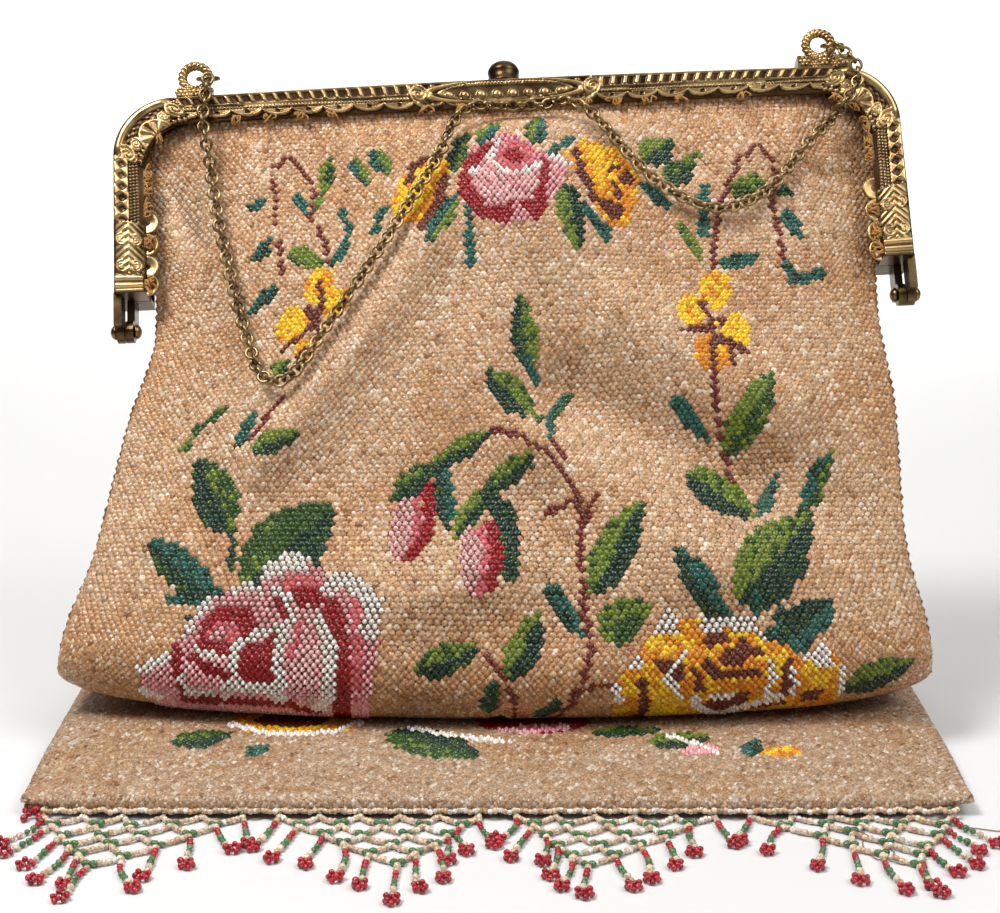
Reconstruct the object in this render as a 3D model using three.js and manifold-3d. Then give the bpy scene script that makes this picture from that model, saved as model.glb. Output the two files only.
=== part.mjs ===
// Beaded frame bag: a pouch knitted with glass beads, sewn into a gilt metal frame with a chain handle,
// and edged with a netted bead fringe. The body leans back and rests on its lower part, which is folded
// under and comes forward as a flap.
// Millimetres, +Z up, +X to the viewer's right, +Y away from the viewer.
import * as THREE from "three";
import { mergeVertices } from "three/addons/utils/BufferGeometryUtils.js";
import Module from "manifold-3d";

const wasm = await Module();
wasm.setup();

// Whole object
const GAP = 0.3; // clearance between neighbouring pieces
const LEAN = THREE.MathUtils.degToRad(26); // body and frame, back from upright
const ROLL = THREE.MathUtils.degToRad(2.9); // frame in its own plane, right side up
const FLOOR_MIDDLE = { x: -1.1, y: -6.4 }; // floor point that becomes the origin

// Folded pouch, seen from the side
const HEM_Y = -37; // front edge of the flap
const REAR_Y = 45; // where the flap turns up at the rear
const NOSE_Y = 13; // where the under layer turns up at the front
const FLAP_HALF = 3.8; // half the flap's thickness
const REAR_RADIUS = 6.5; // middle line of the rear turn
const NOSE_RADIUS = 7; // middle line of the front turn
const FRAME_UP = 129.6; // frame's top edge, up the leaning body from its start
const MOUTH_UP = 125.1; // cloth's top edge, up the leaning body
const CLOTH = 1.8; // wall of knitted beads
const SEWN_HEM = 6; // joined stretch of the two layers at the hem
const MOUTH_CORNER = 11.5; // rounding of the cloth's top corners

// Mesh of the pouch
const FRONT_STEPS = 26;
const BACK_STEPS = 10;
const RING_STEPS = { flap: 5, rear: 6, under: 3, nose: 5, slope: 25 };

// Frame, in its own plane: across and up, with the top middle at zero
const FRAME_HALF = 93; // half the outer width
const FRAME_DEPTH = 7; // from the parting plane to the face
const FRAME_WALL = 1.2; // stamped metal
const FRAME_CORNER = 14; // outer corner radius
const FRAME_ARCH = 0.8; // rise of the top edge at the middle
const BAR_FACE = 6.4; // height of the top bar's face
const ARM_FACE = 7.2; // width of an arm's face
const INNER_CORNER = 11; // inside corner radius of the face
const ARM_END = -48; // lower end of the arms
const CLASP_ACROSS = 1.1; // frame's middle, right of the drawing's middle

// Hinges at the arms' lower ends
const RIVET_UP = -55.4;
const RIVET_RADIUS = 1.1;
const RIVET_HEAD = { radius: 2.1, height: 1.5 };
const LUG_THICK = 1.8;
const LUG_EYE = 2.6;
const LUG_OUTER = 93.4; // outer side of the front half's lugs

// Push button at the top middle
const BUTTON = { radius: 3.9, wall: 3.2, dome: 3, stem: 1.8, collar: 2.6, collarThick: 1, travel: 1 };

// Chain loops on the front half: middle of the ring across and up, and the block below it
const LOOPS = [
  { side: "left", across: -73.5, up: 5.2, blockFrom: -78, blockTo: -69.5, blockTop: 2.2 },
  { side: "right", across: 75.5, up: 6.2, blockFrom: 70, blockTo: 83, blockTop: 3.2 },
];
const LOOP = { ring: 3.1, wire: 0.85, depth: 5.8, blockFront: 6.8, blockBack: 2 };
const JUMP_RING = { ring: 2.4, wire: 0.5, dip: THREE.MathUtils.degToRad(20), drop: 0.6 };

// Chain, as a tube of its links' outer width
const CHAIN_RADIUS = 1.4;
const CHAIN_STEPS = 56;
const CHAIN_SIDES = 8;
const CHAIN_GAP = 0.5; // over the cloth
const CHAIN_FRAME_GAP = 1.2; // over the frame's face, which carries relief

// Fringe, as a slab of its outer form
const FRINGE = { thick: 2.6, half: 97, scallops: 4, valley: 28, tip: 48 };

// Sections of the pouch. along: from the hem. halfWidth and shift: across. front and back: half thickness
// to each side of the middle line. roll: share of the frame's roll.
const SECTIONS = [
  { along: 0, halfWidth: 98.6, shift: -0.6, front: 1.2, back: 3.8, roll: 0 },
  { along: 30, halfWidth: 99.6, shift: -0.6, front: 3.8, back: 3.8, roll: 0 },
  { along: 82, halfWidth: 100, shift: -0.8, front: 4, back: 3.8, roll: 0 },
  { along: 102, halfWidth: 100, shift: -1, front: 4.2, back: 4.6, roll: 0 },
  { along: 134, halfWidth: 100, shift: -1.4, front: 5.2, back: 5, roll: 0 },
  { along: 148.6, halfWidth: 98.2, shift: -0.8, front: 7, back: 5.2, roll: 0 },
  { along: 168.6, halfWidth: 92.6, shift: 0.3, front: 9, back: 6.5, roll: 0.1 },
  { along: 198.6, halfWidth: 89, shift: 2.8, front: 10.5, back: 7.5, roll: 0.5 },
  { along: 222.6, halfWidth: 84.8, shift: 4, front: 10, back: 7.5, roll: 1 },
  { along: 232, halfWidth: 85, shift: 3.8, front: 9.8, back: 7.3, roll: 1 },
  { along: 240, halfWidth: 87.3, shift: 3.3, front: 9.3, back: 7.1, roll: 1 },
  { along: 246.6, halfWidth: 87.5, shift: 2.8, front: 8.6, back: 6.8, roll: 1 },
  { along: 265.6, halfWidth: 87.5, shift: 1.8, front: 6.2, back: 6, roll: 1 },
  { along: 270.6, halfWidth: 87.5, shift: 1.5, front: 5.5, back: 5.5, roll: 1 },
  { along: 276.2, halfWidth: 87.5, shift: 1.3, front: 5.5, back: 5.5, roll: 1 },
];

// Folds of the leaning front: a ridge or, below zero, a valley along a line from one place to another.
const FOLDS = [
  { fromAcross: 5, fromUp: 117, toAcross: 5, toUp: 106, height: 8.5, reach: 24 },
  { fromAcross: -17, fromUp: 98, toAcross: -52, toUp: 44, height: 3.5, reach: 11 },
  { fromAcross: -24, fromUp: 52, toAcross: -42, toUp: 38, height: -3, reach: 10 },
  { fromAcross: -12, fromUp: 28, toAcross: -36, toUp: 14, height: 2, reach: 9 },
  { fromAcross: 30, fromUp: 70, toAcross: 50, toUp: 52, height: -3, reach: 12 },
  { fromAcross: 16, fromUp: 56, toAcross: 58, toUp: 24, height: 3.5, reach: 11 },
  { fromAcross: -74, fromUp: 112, toAcross: -66, toUp: 94, height: -1.2, reach: 4 },
  { fromAcross: 78, fromUp: 118, toAcross: 84, toUp: 96, height: -1, reach: 4 },
];

// The chain's way over the front, from the left loop to the right one
const CHAIN_ROUTE = [
  { across: -70.4, up: 132.6 },
  { across: -71, up: 127.8 },
  { across: -71.4, up: 121 },
  { across: -70.8, up: 117 },
  { across: -68.7, up: 99 },
  { across: -65, up: 79 },
  { across: -60.5, up: 64.5 },
  { across: -57, up: 57 },
  { across: -54, up: 55 },
  { across: -50, up: 57 },
  { across: -43, up: 69 },
  { across: -33.5, up: 83 },
  { across: -25, up: 95 },
  { across: -16.5, up: 108 },
  { across: -12, up: 118 },
  { across: -7, up: 121.6 },
  { across: 4, up: 122 },
  { across: 14, up: 121.6 },
  { across: 19, up: 118.5 },
  { across: 25.5, up: 110 },
  { across: 32, up: 102 },
  { across: 39, up: 97 },
  { across: 47, up: 94 },
  { across: 54, up: 95.5 },
  { across: 61, up: 99.5 },
  { across: 69, up: 108.5 },
  { across: 77, up: 116.6 },
  { across: 81.5, up: 121.4 },
  { across: 83.5, up: 126.6 },
  { across: 81.5, up: 131.1 },
  { across: 79, up: 133.2 },
];

const FLAP_LENGTH = REAR_Y - HEM_Y;
const REAR_LENGTH = Math.PI * REAR_RADIUS;
const UNDER_LENGTH = REAR_Y - NOSE_Y;
const NOSE_LENGTH = (Math.PI / 2 + LEAN) * NOSE_RADIUS;
const SLOPE_AT = FLAP_LENGTH + REAR_LENGTH + UNDER_LENGTH + NOSE_LENGTH;
const CLOTH_LENGTH = SLOPE_AT + MOUTH_UP;
const UNDER_Z = FLAP_HALF + 2 * REAR_RADIUS;

const gilt = new THREE.MeshStandardMaterial({ color: 0x9a7a45, roughness: 0.4, metalness: 1 });
const beadCloth = new THREE.MeshStandardMaterial({ color: 0xc9a886, roughness: 0.5, metalness: 0 });
const beadNet = new THREE.MeshStandardMaterial({ color: 0xb99a80, roughness: 0.3, metalness: 0 });

const clamp = THREE.MathUtils.clamp;
const smoothStep = (value) => THREE.MathUtils.smoothstep(value, 0, 1);

// Middle line of the folded pouch at a length from the hem: its place and its heading from +Y.
function middleLine(along) {
  let rest = along;
  if (rest < FLAP_LENGTH) {
    return { y: HEM_Y + rest, z: FLAP_HALF, heading: 0 };
  }
  rest -= FLAP_LENGTH;
  if (rest < REAR_LENGTH) {
    const turn = rest / REAR_RADIUS;
    const y = REAR_Y + REAR_RADIUS * Math.sin(turn);
    return { y, z: FLAP_HALF + REAR_RADIUS * (1 - Math.cos(turn)), heading: turn };
  }
  rest -= REAR_LENGTH;
  if (rest < UNDER_LENGTH) {
    return { y: REAR_Y - rest, z: UNDER_Z, heading: Math.PI };
  }
  rest -= UNDER_LENGTH;
  const turn = Math.min(rest, NOSE_LENGTH) / NOSE_RADIUS;
  const heading = Math.PI - turn;
  const straight = Math.max(rest - NOSE_LENGTH, 0);
  return {
    y: NOSE_Y - NOSE_RADIUS * Math.sin(turn) + straight * Math.cos(heading),
    z: UNDER_Z + NOSE_RADIUS * (1 - Math.cos(turn)) + straight * Math.sin(heading),
    heading,
  };
}

// A smooth curve through one column of the sections that never overshoots its rows.
function sectionCurve(column) {
  const steps = SECTIONS.slice(1).map((row, i) => row.along - SECTIONS[i].along);
  const slopes = steps.map((step, i) => (SECTIONS[i + 1][column] - SECTIONS[i][column]) / step);
  const tangents = SECTIONS.map((row, i) => {
    if (i === 0 || i === SECTIONS.length - 1) {
      return slopes[Math.min(i, slopes.length - 1)];
    }
    const before = slopes[i - 1];
    const after = slopes[i];
    if (before * after <= 0) {
      return 0;
    }
    const weightBefore = 2 * steps[i] + steps[i - 1];
    const weightAfter = steps[i] + 2 * steps[i - 1];
    return (weightBefore + weightAfter) / (weightBefore / before + weightAfter / after);
  });
  return (along) => {
    let i = SECTIONS.findIndex((row) => row.along > along) - 1;
    i = i < 0 ? SECTIONS.length - 2 : i;
    const t = clamp((along - SECTIONS[i].along) / steps[i], 0, 1);
    const back = 1 - t;
    return (
      SECTIONS[i][column] * (1 + 2 * t) * back * back +
      tangents[i] * steps[i] * t * back * back +
      SECTIONS[i + 1][column] * t * t * (3 - 2 * t) -
      tangents[i + 1] * steps[i] * t * t * back
    );
  };
}

const section = {
  halfWidth: sectionCurve("halfWidth"),
  shift: sectionCurve("shift"),
  front: sectionCurve("front"),
  back: sectionCurve("back"),
  roll: sectionCurve("roll"),
};

// Half width of the pouch, drawn in round the top corners.
function halfWidth(along) {
  const over = clamp((along - CLOTH_LENGTH) / MOUTH_CORNER + 1, 0, 0.98);
  return section.halfWidth(along) - MOUTH_CORNER * (1 - Math.sqrt(1 - over * over));
}

// Height of the folds at a place on the leaning front.
function foldHeight(across, up) {
  let height = 0;
  for (const fold of FOLDS) {
    const runAcross = fold.toAcross - fold.fromAcross;
    const runUp = fold.toUp - fold.fromUp;
    const reached = (across - fold.fromAcross) * runAcross + (up - fold.fromUp) * runUp;
    const t = clamp(reached / (runAcross * runAcross + runUp * runUp), 0, 1);
    const offAcross = across - fold.fromAcross - t * runAcross;
    const offUp = up - fold.fromUp - t * runUp;
    const off = (offAcross * offAcross + offUp * offUp) / (fold.reach * fold.reach);
    height += fold.height * Math.exp(-off);
  }
  return height;
}

// Share of the folds that shows: none under the frame's bar, at the side edges or past the front turn.
function foldShare(share, up) {
  const belowBar = smoothStep((FRAME_UP - BAR_FACE - 1.5 - up) / 5);
  const aboveNose = clamp((up + 5) / 15, 0, 1);
  const insideEdge = clamp((1 - Math.abs(share)) / 0.15, 0, 1);
  return belowBar * aboveNose * insideEdge;
}

// Thickness across the pouch, from 0 at a side edge to 1: flat-topped on the flap, lens-shaped above.
function crown(share, up) {
  const edge = Math.min(Math.abs(share), 1);
  const flat = Math.min(1, 1.06 * Math.sqrt(1 - edge ** 6));
  const lens = (1 - edge ** 2.4) ** 0.62;
  const puff = clamp((up + 10) / 40, 0, 1) * clamp((FRAME_UP - 6 - up) / 20, 0, 1);
  return flat * (1 - puff) + lens * puff;
}

// How far the cloth's front stands from the middle line.
function frontDepth(share, along, inset) {
  const up = along - SLOPE_AT;
  const fold = foldHeight(share * halfWidth(along), up) * foldShare(share, up);
  return (section.front(along) - inset) * crown(share, up) + fold;
}

// How far the cloth's back stands from the middle line.
function backDepth(share, along, inset) {
  return (section.back(along) - inset) * crown(share, along - SLOPE_AT);
}

// A place in space, from its place on the pouch and its distance in front of the middle line.
function placeOnPouch(across, along, depth) {
  const line = middleLine(along);
  const roll = ROLL * section.roll(along);
  const slide = across * Math.sin(roll);
  return new THREE.Vector3(
    section.shift(along) + across * Math.cos(roll),
    line.y + slide * Math.cos(line.heading) - depth * Math.sin(line.heading),
    line.z + slide * Math.sin(line.heading) + depth * Math.cos(line.heading),
  );
}

// Shares from one side edge to the other, closer together at the edges.
function sideToSide(steps) {
  return Array.from({ length: steps + 1 }, (_, i) => {
    const even = (2 * i) / steps - 1;
    return (even + Math.sin((even * Math.PI) / 2)) / 2;
  });
}

// One closed ring of the pouch: the front from left to right, then the back from right to left.
function pouchRing(along, inset) {
  const width = halfWidth(along) - inset;
  const front = sideToSide(FRONT_STEPS).map((share) =>
    placeOnPouch(share * width, along, frontDepth(share, along, inset)),
  );
  const back = sideToSide(BACK_STEPS)
    .slice(1, -1)
    .reverse()
    .map((share) => placeOnPouch(share * width, along, -backDepth(share, along, inset)));
  return [...front, ...back];
}

// Lengths from the hem at which the pouch has a ring.
function ringPlaces() {
  const stretches = [
    { length: FLAP_LENGTH, steps: RING_STEPS.flap },
    { length: REAR_LENGTH, steps: RING_STEPS.rear },
    { length: UNDER_LENGTH, steps: RING_STEPS.under },
    { length: NOSE_LENGTH, steps: RING_STEPS.nose },
    { length: MOUTH_UP - MOUTH_CORNER, steps: RING_STEPS.slope },
  ];
  const places = [0];
  let start = 0;
  for (const { length, steps } of stretches) {
    for (let i = 1; i <= steps; i++) {
      places.push(start + (length * i) / steps);
    }
    start += length;
  }
  for (const turn of [30, 50, 68, 90]) {
    places.push(start + MOUTH_CORNER * Math.sin(THREE.MathUtils.degToRad(turn)));
  }
  return places;
}

// Hollow pouch: an outer and an inner skin, closed at the hem and joined by a rim round the mouth.
function pouchGeometry() {
  const outer = ringPlaces().map((along) => pouchRing(along, 0));
  const inner = [SEWN_HEM, ...ringPlaces().filter((along) => along > SEWN_HEM + CLOTH)].map((along) =>
    pouchRing(along, CLOTH),
  );
  const count = outer[0].length;
  const points = [...outer.flat(), ...inner.flat()];
  const faces = [];
  const addSkin = (first, rings, outward) => {
    for (let r = 0; r < rings - 1; r++) {
      for (let k = 0; k < count; k++) {
        const a = first + r * count + k;
        const b = first + r * count + ((k + 1) % count);
        const c = a + count;
        const d = b + count;
        faces.push(...(outward ? [a, b, d, a, d, c] : [a, d, b, a, c, d]));
      }
    }
  };
  const addEnd = (first, outward) => {
    const flat = points.slice(first, first + count).map((p) => new THREE.Vector2(p.x, p.z));
    for (const [a, b, c] of THREE.ShapeUtils.triangulateShape(flat, [])) {
      const facesOut = THREE.ShapeUtils.area([flat[a], flat[b], flat[c]]) > 0 === outward;
      faces.push(...(facesOut ? [first + a, first + b, first + c] : [first + a, first + c, first + b]));
    }
  };
  const innerFirst = outer.length * count;
  addSkin(0, outer.length, true);
  addSkin(innerFirst, inner.length, false);
  addEnd(0, true);
  addEnd(innerFirst, false);
  const outerRim = (outer.length - 1) * count;
  const innerRim = innerFirst + (inner.length - 1) * count;
  for (let k = 0; k < count; k++) {
    const next = (k + 1) % count;
    faces.push(outerRim + k, outerRim + next, innerRim + next);
    faces.push(outerRim + k, innerRim + next, innerRim + k);
  }
  const geometry = new THREE.BufferGeometry().setFromPoints(points);
  geometry.setIndex(faces);
  return geometry;
}

function toSolid(geometry) {
  const bare = geometry.clone();
  bare.deleteAttribute("normal");
  bare.deleteAttribute("uv");
  const merged = mergeVertices(bare, 1e-4);
  const vertProperties = new Float32Array(merged.attributes.position.array);
  const triVerts = new Uint32Array(merged.index.array);
  return new wasm.Manifold(new wasm.Mesh({ numProp: 3, vertProperties, triVerts }));
}

function toGeometry(solid) {
  const mesh = solid.getMesh();
  const geometry = new THREE.BufferGeometry();
  geometry.setAttribute("position", new THREE.BufferAttribute(mesh.vertProperties, mesh.numProp));
  geometry.setIndex(new THREE.BufferAttribute(mesh.triVerts, 1));
  return geometry;
}

const joined = (geometries) => geometries.map(toSolid).reduce((whole, piece) => whole.add(piece));

const cut = (solid, geometries) =>
  geometries.map(toSolid).reduce((whole, piece) => whole.subtract(piece), solid);

// An outline in the frame's plane, as a plate from one depth to another.
function plate(shape, fromDepth, toDepth) {
  const geometry = new THREE.ExtrudeGeometry(shape, {
    depth: toDepth - fromDepth,
    bevelEnabled: false,
    curveSegments: 8,
  });
  return geometry.rotateX(Math.PI / 2).translate(0, toDepth, 0);
}

function block(from, to) {
  const size = to.clone().sub(from);
  const middle = from.clone().add(to).multiplyScalar(0.5);
  return new THREE.BoxGeometry(size.x, size.y, size.z).translate(middle.x, middle.y, middle.z);
}

function barAcross(radius, length, middle) {
  const geometry = new THREE.CylinderGeometry(radius, radius, length, 20).rotateZ(Math.PI / 2);
  return geometry.translate(middle.x, middle.y, middle.z);
}

// The frame's outline, an arch with two arms: inset from its outer edge, and reaching past its inner edge.
function archShape(inset, reach, armEnd) {
  const outer = FRAME_HALF - inset;
  const corner = FRAME_CORNER - inset;
  const turnAt = FRAME_HALF - FRAME_CORNER;
  const innerArm = FRAME_HALF - ARM_FACE - reach;
  const innerBar = -BAR_FACE - reach;
  const innerTurn = innerArm - INNER_CORNER;
  const shape = new THREE.Shape();
  shape.moveTo(-outer, armEnd);
  shape.lineTo(-innerArm, armEnd);
  shape.lineTo(-innerArm, innerBar - INNER_CORNER);
  shape.absarc(-innerTurn, innerBar - INNER_CORNER, INNER_CORNER, Math.PI, Math.PI / 2, true);
  shape.quadraticCurveTo(0, innerBar + FRAME_ARCH, innerTurn, innerBar);
  shape.absarc(innerTurn, innerBar - INNER_CORNER, INNER_CORNER, Math.PI / 2, 0, true);
  shape.lineTo(innerArm, armEnd);
  shape.lineTo(outer, armEnd);
  shape.lineTo(outer, -FRAME_CORNER);
  shape.absarc(turnAt, -FRAME_CORNER, corner, 0, Math.PI / 2, false);
  shape.quadraticCurveTo(0, 2 * FRAME_ARCH - inset, -turnAt, -inset);
  shape.absarc(-turnAt, -FRAME_CORNER, corner, Math.PI / 2, Math.PI, false);
  return shape;
}

// Hinge lug of one half on one side: a stem below the arm and a round eye on the rivet.
function lugParts(facing, side) {
  const outer = facing < 0 ? LUG_OUTER : LUG_OUTER - LUG_THICK - GAP;
  const middle = side * (outer - LUG_THICK / 2);
  const stemTop = ARM_END + FRAME_WALL / 2;
  const near = facing * GAP;
  const far = facing * (FRAME_DEPTH - FRAME_WALL);
  const stem = block(
    new THREE.Vector3(middle - LUG_THICK / 2, Math.min(near, far), RIVET_UP),
    new THREE.Vector3(middle + LUG_THICK / 2, Math.max(near, far), stemTop),
  );
  const eye = barAcross(LUG_EYE, LUG_THICK, new THREE.Vector3(middle, 0, RIVET_UP));
  const rivetHole = barAcross(
    RIVET_RADIUS + GAP,
    LUG_THICK * 2,
    new THREE.Vector3(middle, 0, RIVET_UP),
  );
  return { added: [stem, eye], hole: rivetHole };
}

// A chain loop: a ring of wire standing on a block on the top edge.
function loopParts(loop) {
  const ring = new THREE.TorusGeometry(LOOP.ring, LOOP.wire, 8, 16).rotateX(Math.PI / 2);
  ring.translate(loop.across, -LOOP.depth, loop.up);
  const foot = block(
    new THREE.Vector3(loop.blockFrom, -LOOP.blockFront, -FRAME_WALL / 2),
    new THREE.Vector3(loop.blockTo, -LOOP.blockBack, loop.blockTop),
  );
  return [ring, foot];
}

// One stamped half of the frame, a face with a rim turned back to the parting plane. facing: -1 front, 1 back.
function frameHalf(facing) {
  const parting = (facing * GAP) / 2;
  const face = facing * FRAME_DEPTH;
  const insideFace = facing * (FRAME_DEPTH - FRAME_WALL);
  const past = -facing;
  const body = plate(archShape(0, 0, ARM_END), Math.min(parting, face), Math.max(parting, face));
  const channel = plate(
    archShape(FRAME_WALL, 2, ARM_END + FRAME_WALL),
    Math.min(past, insideFace),
    Math.max(past, insideFace),
  );
  const buttonHole = new THREE.CylinderGeometry(
    BUTTON.stem + GAP,
    BUTTON.stem + GAP,
    FRAME_WALL * 4,
    24,
  ).rotateX(Math.PI / 2);
  const lugs = [-1, 1].map((side) => lugParts(facing, side));
  const shell = cut(toSolid(body), [channel, buttonHole]);
  const added = lugs.flatMap((lug) => lug.added);
  if (facing < 0) {
    added.push(...LOOPS.flatMap(loopParts));
  }
  const whole = shell.add(joined(added));
  return toGeometry(cut(whole, lugs.map((lug) => lug.hole)));
}

function lathe(profile, segments) {
  return new THREE.LatheGeometry(
    profile.map(([radius, height]) => new THREE.Vector2(radius, height)),
    segments,
  );
}

// Points of a dome from its rim up to the axis.
function domeProfile(radius, base, height, steps) {
  return Array.from({ length: steps + 1 }, (_, i) => {
    const turn = (Math.PI / 2) * (i / steps);
    return [i === steps ? 0 : radius * Math.cos(turn), base + height * Math.sin(turn)];
  });
}

// Push button: a dome on a stem, held under the top edge by a collar.
function buttonGeometry() {
  const domeBase = FRAME_ARCH + GAP + BUTTON.travel;
  const collarTop = FRAME_ARCH - FRAME_WALL - GAP;
  const profile = [
    [0, collarTop - BUTTON.collarThick],
    [BUTTON.collar, collarTop - BUTTON.collarThick],
    [BUTTON.collar, collarTop],
    [BUTTON.stem, collarTop],
    [BUTTON.stem, domeBase],
    [BUTTON.radius, domeBase],
    ...domeProfile(BUTTON.radius, domeBase + BUTTON.wall, BUTTON.dome, 5),
  ];
  return lathe(profile, 20).rotateX(Math.PI / 2);
}

// Rivet along the hinge axis: a shank with a round head at each end.
function rivetGeometry() {
  const shank = LUG_THICK + GAP * 1.5;
  const head = domeProfile(RIVET_HEAD.radius, shank, RIVET_HEAD.height, 4);
  const foot = head.map(([radius, height]) => [radius, -height]).reverse();
  return lathe([...foot, [RIVET_RADIUS, -shank], [RIVET_RADIUS, shank], ...head], 12).rotateZ(Math.PI / 2);
}

// Depth of the chain's middle in front of the middle line, resting on whatever is below it.
function chainDepth(across, up) {
  const onFrame = up > FRAME_UP - BAR_FACE - CHAIN_RADIUS;
  let below = onFrame ? FRAME_DEPTH + CHAIN_FRAME_GAP : 0;
  const reach = CHAIN_RADIUS + CHAIN_GAP;
  for (let i = 0; i < 12; i++) {
    const turn = (i * Math.PI) / 6;
    const along = SLOPE_AT + up + reach * Math.sin(turn);
    if (along < CLOTH_LENGTH) {
      const share = (across + reach * Math.cos(turn)) / halfWidth(along);
      below = Math.max(below, frontDepth(clamp(share, -1, 1), along, 0));
    }
  }
  return below + CHAIN_RADIUS + CHAIN_GAP;
}

function chainGeometry() {
  const flatRoute = new THREE.CatmullRomCurve3(
    CHAIN_ROUTE.map(({ across, up }) => new THREE.Vector3(across, up, 0)),
  );
  const flatPoints = flatRoute.getSpacedPoints(CHAIN_STEPS);
  const depths = flatPoints.map((p) => chainDepth(p.x, p.y));
  const route = flatPoints.map((p, i) => {
    const around = depths.slice(Math.max(i - 1, 0), i + 2);
    return placeOnPouch(p.x, SLOPE_AT + p.y, Math.max(...around));
  });
  const section = new THREE.Shape();
  for (let i = 0; i < CHAIN_SIDES; i++) {
    const turn = (2 * Math.PI * i) / CHAIN_SIDES;
    const corner = [CHAIN_RADIUS * Math.cos(turn), CHAIN_RADIUS * Math.sin(turn)];
    if (i === 0) {
      section.moveTo(...corner);
    } else {
      section.lineTo(...corner);
    }
  }
  return new THREE.ExtrudeGeometry(section, {
    steps: CHAIN_STEPS,
    extrudePath: new THREE.CatmullRomCurve3(route),
  });
}

function fringeGeometry() {
  const pitch = (2 * FRINGE.half) / FRINGE.scallops;
  const back = HEM_Y - GAP;
  const shape = new THREE.Shape();
  shape.moveTo(FRINGE.half, back);
  shape.lineTo(-FRINGE.half, back);
  shape.lineTo(-FRINGE.half, back - FRINGE.valley);
  for (let i = 0; i < FRINGE.scallops; i++) {
    const from = -FRINGE.half + i * pitch;
    const bow = 2 * FRINGE.tip - FRINGE.valley;
    shape.quadraticCurveTo(from + pitch / 2, back - bow, from + pitch, back - FRINGE.valley);
  }
  shape.closePath();
  return new THREE.ExtrudeGeometry(shape, {
    depth: FRINGE.thick,
    bevelEnabled: false,
    curveSegments: 6,
  });
}

function addPiece(group, name, geometry, material) {
  const mesh = new THREE.Mesh(geometry, material);
  mesh.name = name;
  group.add(mesh);
  return mesh;
}

const bag = new THREE.Group();
bag.position.set(-FLOOR_MIDDLE.x, -FLOOR_MIDDLE.y, 0);

addPiece(bag, "bag_body", pouchGeometry(), beadCloth);
addPiece(bag, "fringe", fringeGeometry(), beadNet);
addPiece(bag, "chain", chainGeometry(), gilt);

const frameTop = middleLine(SLOPE_AT + FRAME_UP);
const leaning = new THREE.Group();
leaning.position.set(CLASP_ACROSS, frameTop.y, frameTop.z);
leaning.rotation.x = -LEAN;
bag.add(leaning);
const frame = new THREE.Group();
frame.rotation.y = -ROLL;
leaning.add(frame);

addPiece(frame, "frame_front", frameHalf(-1), gilt);
addPiece(frame, "frame_back", frameHalf(1), gilt);
addPiece(frame, "clasp_button", buttonGeometry(), gilt);

const rivetAcross = LUG_OUTER - LUG_THICK - GAP / 2;
for (const { side, sign } of [{ side: "left", sign: -1 }, { side: "right", sign: 1 }]) {
  addPiece(frame, `hinge_rivet_${side}`, rivetGeometry(), gilt).position.set(sign * rivetAcross, 0, RIVET_UP);
}

for (const { side, across, up } of LOOPS) {
  const ring = addPiece(
    frame,
    `chain_ring_${side}`,
    new THREE.TorusGeometry(JUMP_RING.ring, JUMP_RING.wire, 6, 16),
    gilt,
  );
  const room = JUMP_RING.ring - JUMP_RING.wire - LOOP.wire - GAP * 1.3;
  ring.position.set(across + LOOP.ring, -LOOP.depth - room, up - JUMP_RING.drop);
  ring.rotation.x = JUMP_RING.dip;
}

export default bag;
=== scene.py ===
import math
from collections import namedtuple

import bpy
import numpy as np
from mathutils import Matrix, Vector


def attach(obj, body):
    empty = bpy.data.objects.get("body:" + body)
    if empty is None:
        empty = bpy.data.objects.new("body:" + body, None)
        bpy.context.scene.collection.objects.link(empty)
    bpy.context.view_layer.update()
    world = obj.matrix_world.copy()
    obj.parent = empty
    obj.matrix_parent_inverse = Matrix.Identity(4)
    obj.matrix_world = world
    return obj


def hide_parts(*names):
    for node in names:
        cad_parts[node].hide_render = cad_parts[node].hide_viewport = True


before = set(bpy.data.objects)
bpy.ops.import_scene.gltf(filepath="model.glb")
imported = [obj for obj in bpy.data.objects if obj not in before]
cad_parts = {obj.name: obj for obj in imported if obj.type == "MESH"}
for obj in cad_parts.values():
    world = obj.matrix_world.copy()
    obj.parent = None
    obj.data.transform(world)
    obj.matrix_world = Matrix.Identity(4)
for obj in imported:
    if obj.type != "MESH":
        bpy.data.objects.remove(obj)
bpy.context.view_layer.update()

bl_info = {
    "name": "Beaded frame bag",
    "version": (1, 0, 0),
    "blender": (4, 5, 0),
    "location": "View3D > Sidebar > Bag",
    "description": "Bead cloth, gilt frame, chain and netted fringe of a knitted bead bag",
    "category": "Object",
}

# Sizes are in millimetres until a mesh is made.
MM = 0.001
SEED = 1907

# Folded pouch: hem at the front, a turn up at the rear, a turn up at the front, then the leaning body
ORIGIN_SHIFT = np.array([1.1, 6.4, 0.0])
LEAN = math.radians(26)
ROLL = math.radians(2.9)
HEM_Y = -37
REAR_Y = 45
NOSE_Y = 13
FLAP_HALF = 3.8
REAR_RADIUS = 6.5
NOSE_RADIUS = 7
FRAME_UP = 129.6
MOUTH_UP = 125.1
MOUTH_CORNER = 11.5
HEM_RADIUS = 2.5

FLAP_LENGTH = REAR_Y - HEM_Y
REAR_LENGTH = math.pi * REAR_RADIUS
UNDER_LENGTH = REAR_Y - NOSE_Y
NOSE_TURN = math.pi / 2 + LEAN
NOSE_LENGTH = NOSE_TURN * NOSE_RADIUS
SLOPE_AT = FLAP_LENGTH + REAR_LENGTH + UNDER_LENGTH + NOSE_LENGTH
CLOTH_LENGTH = SLOPE_AT + MOUTH_UP

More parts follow.
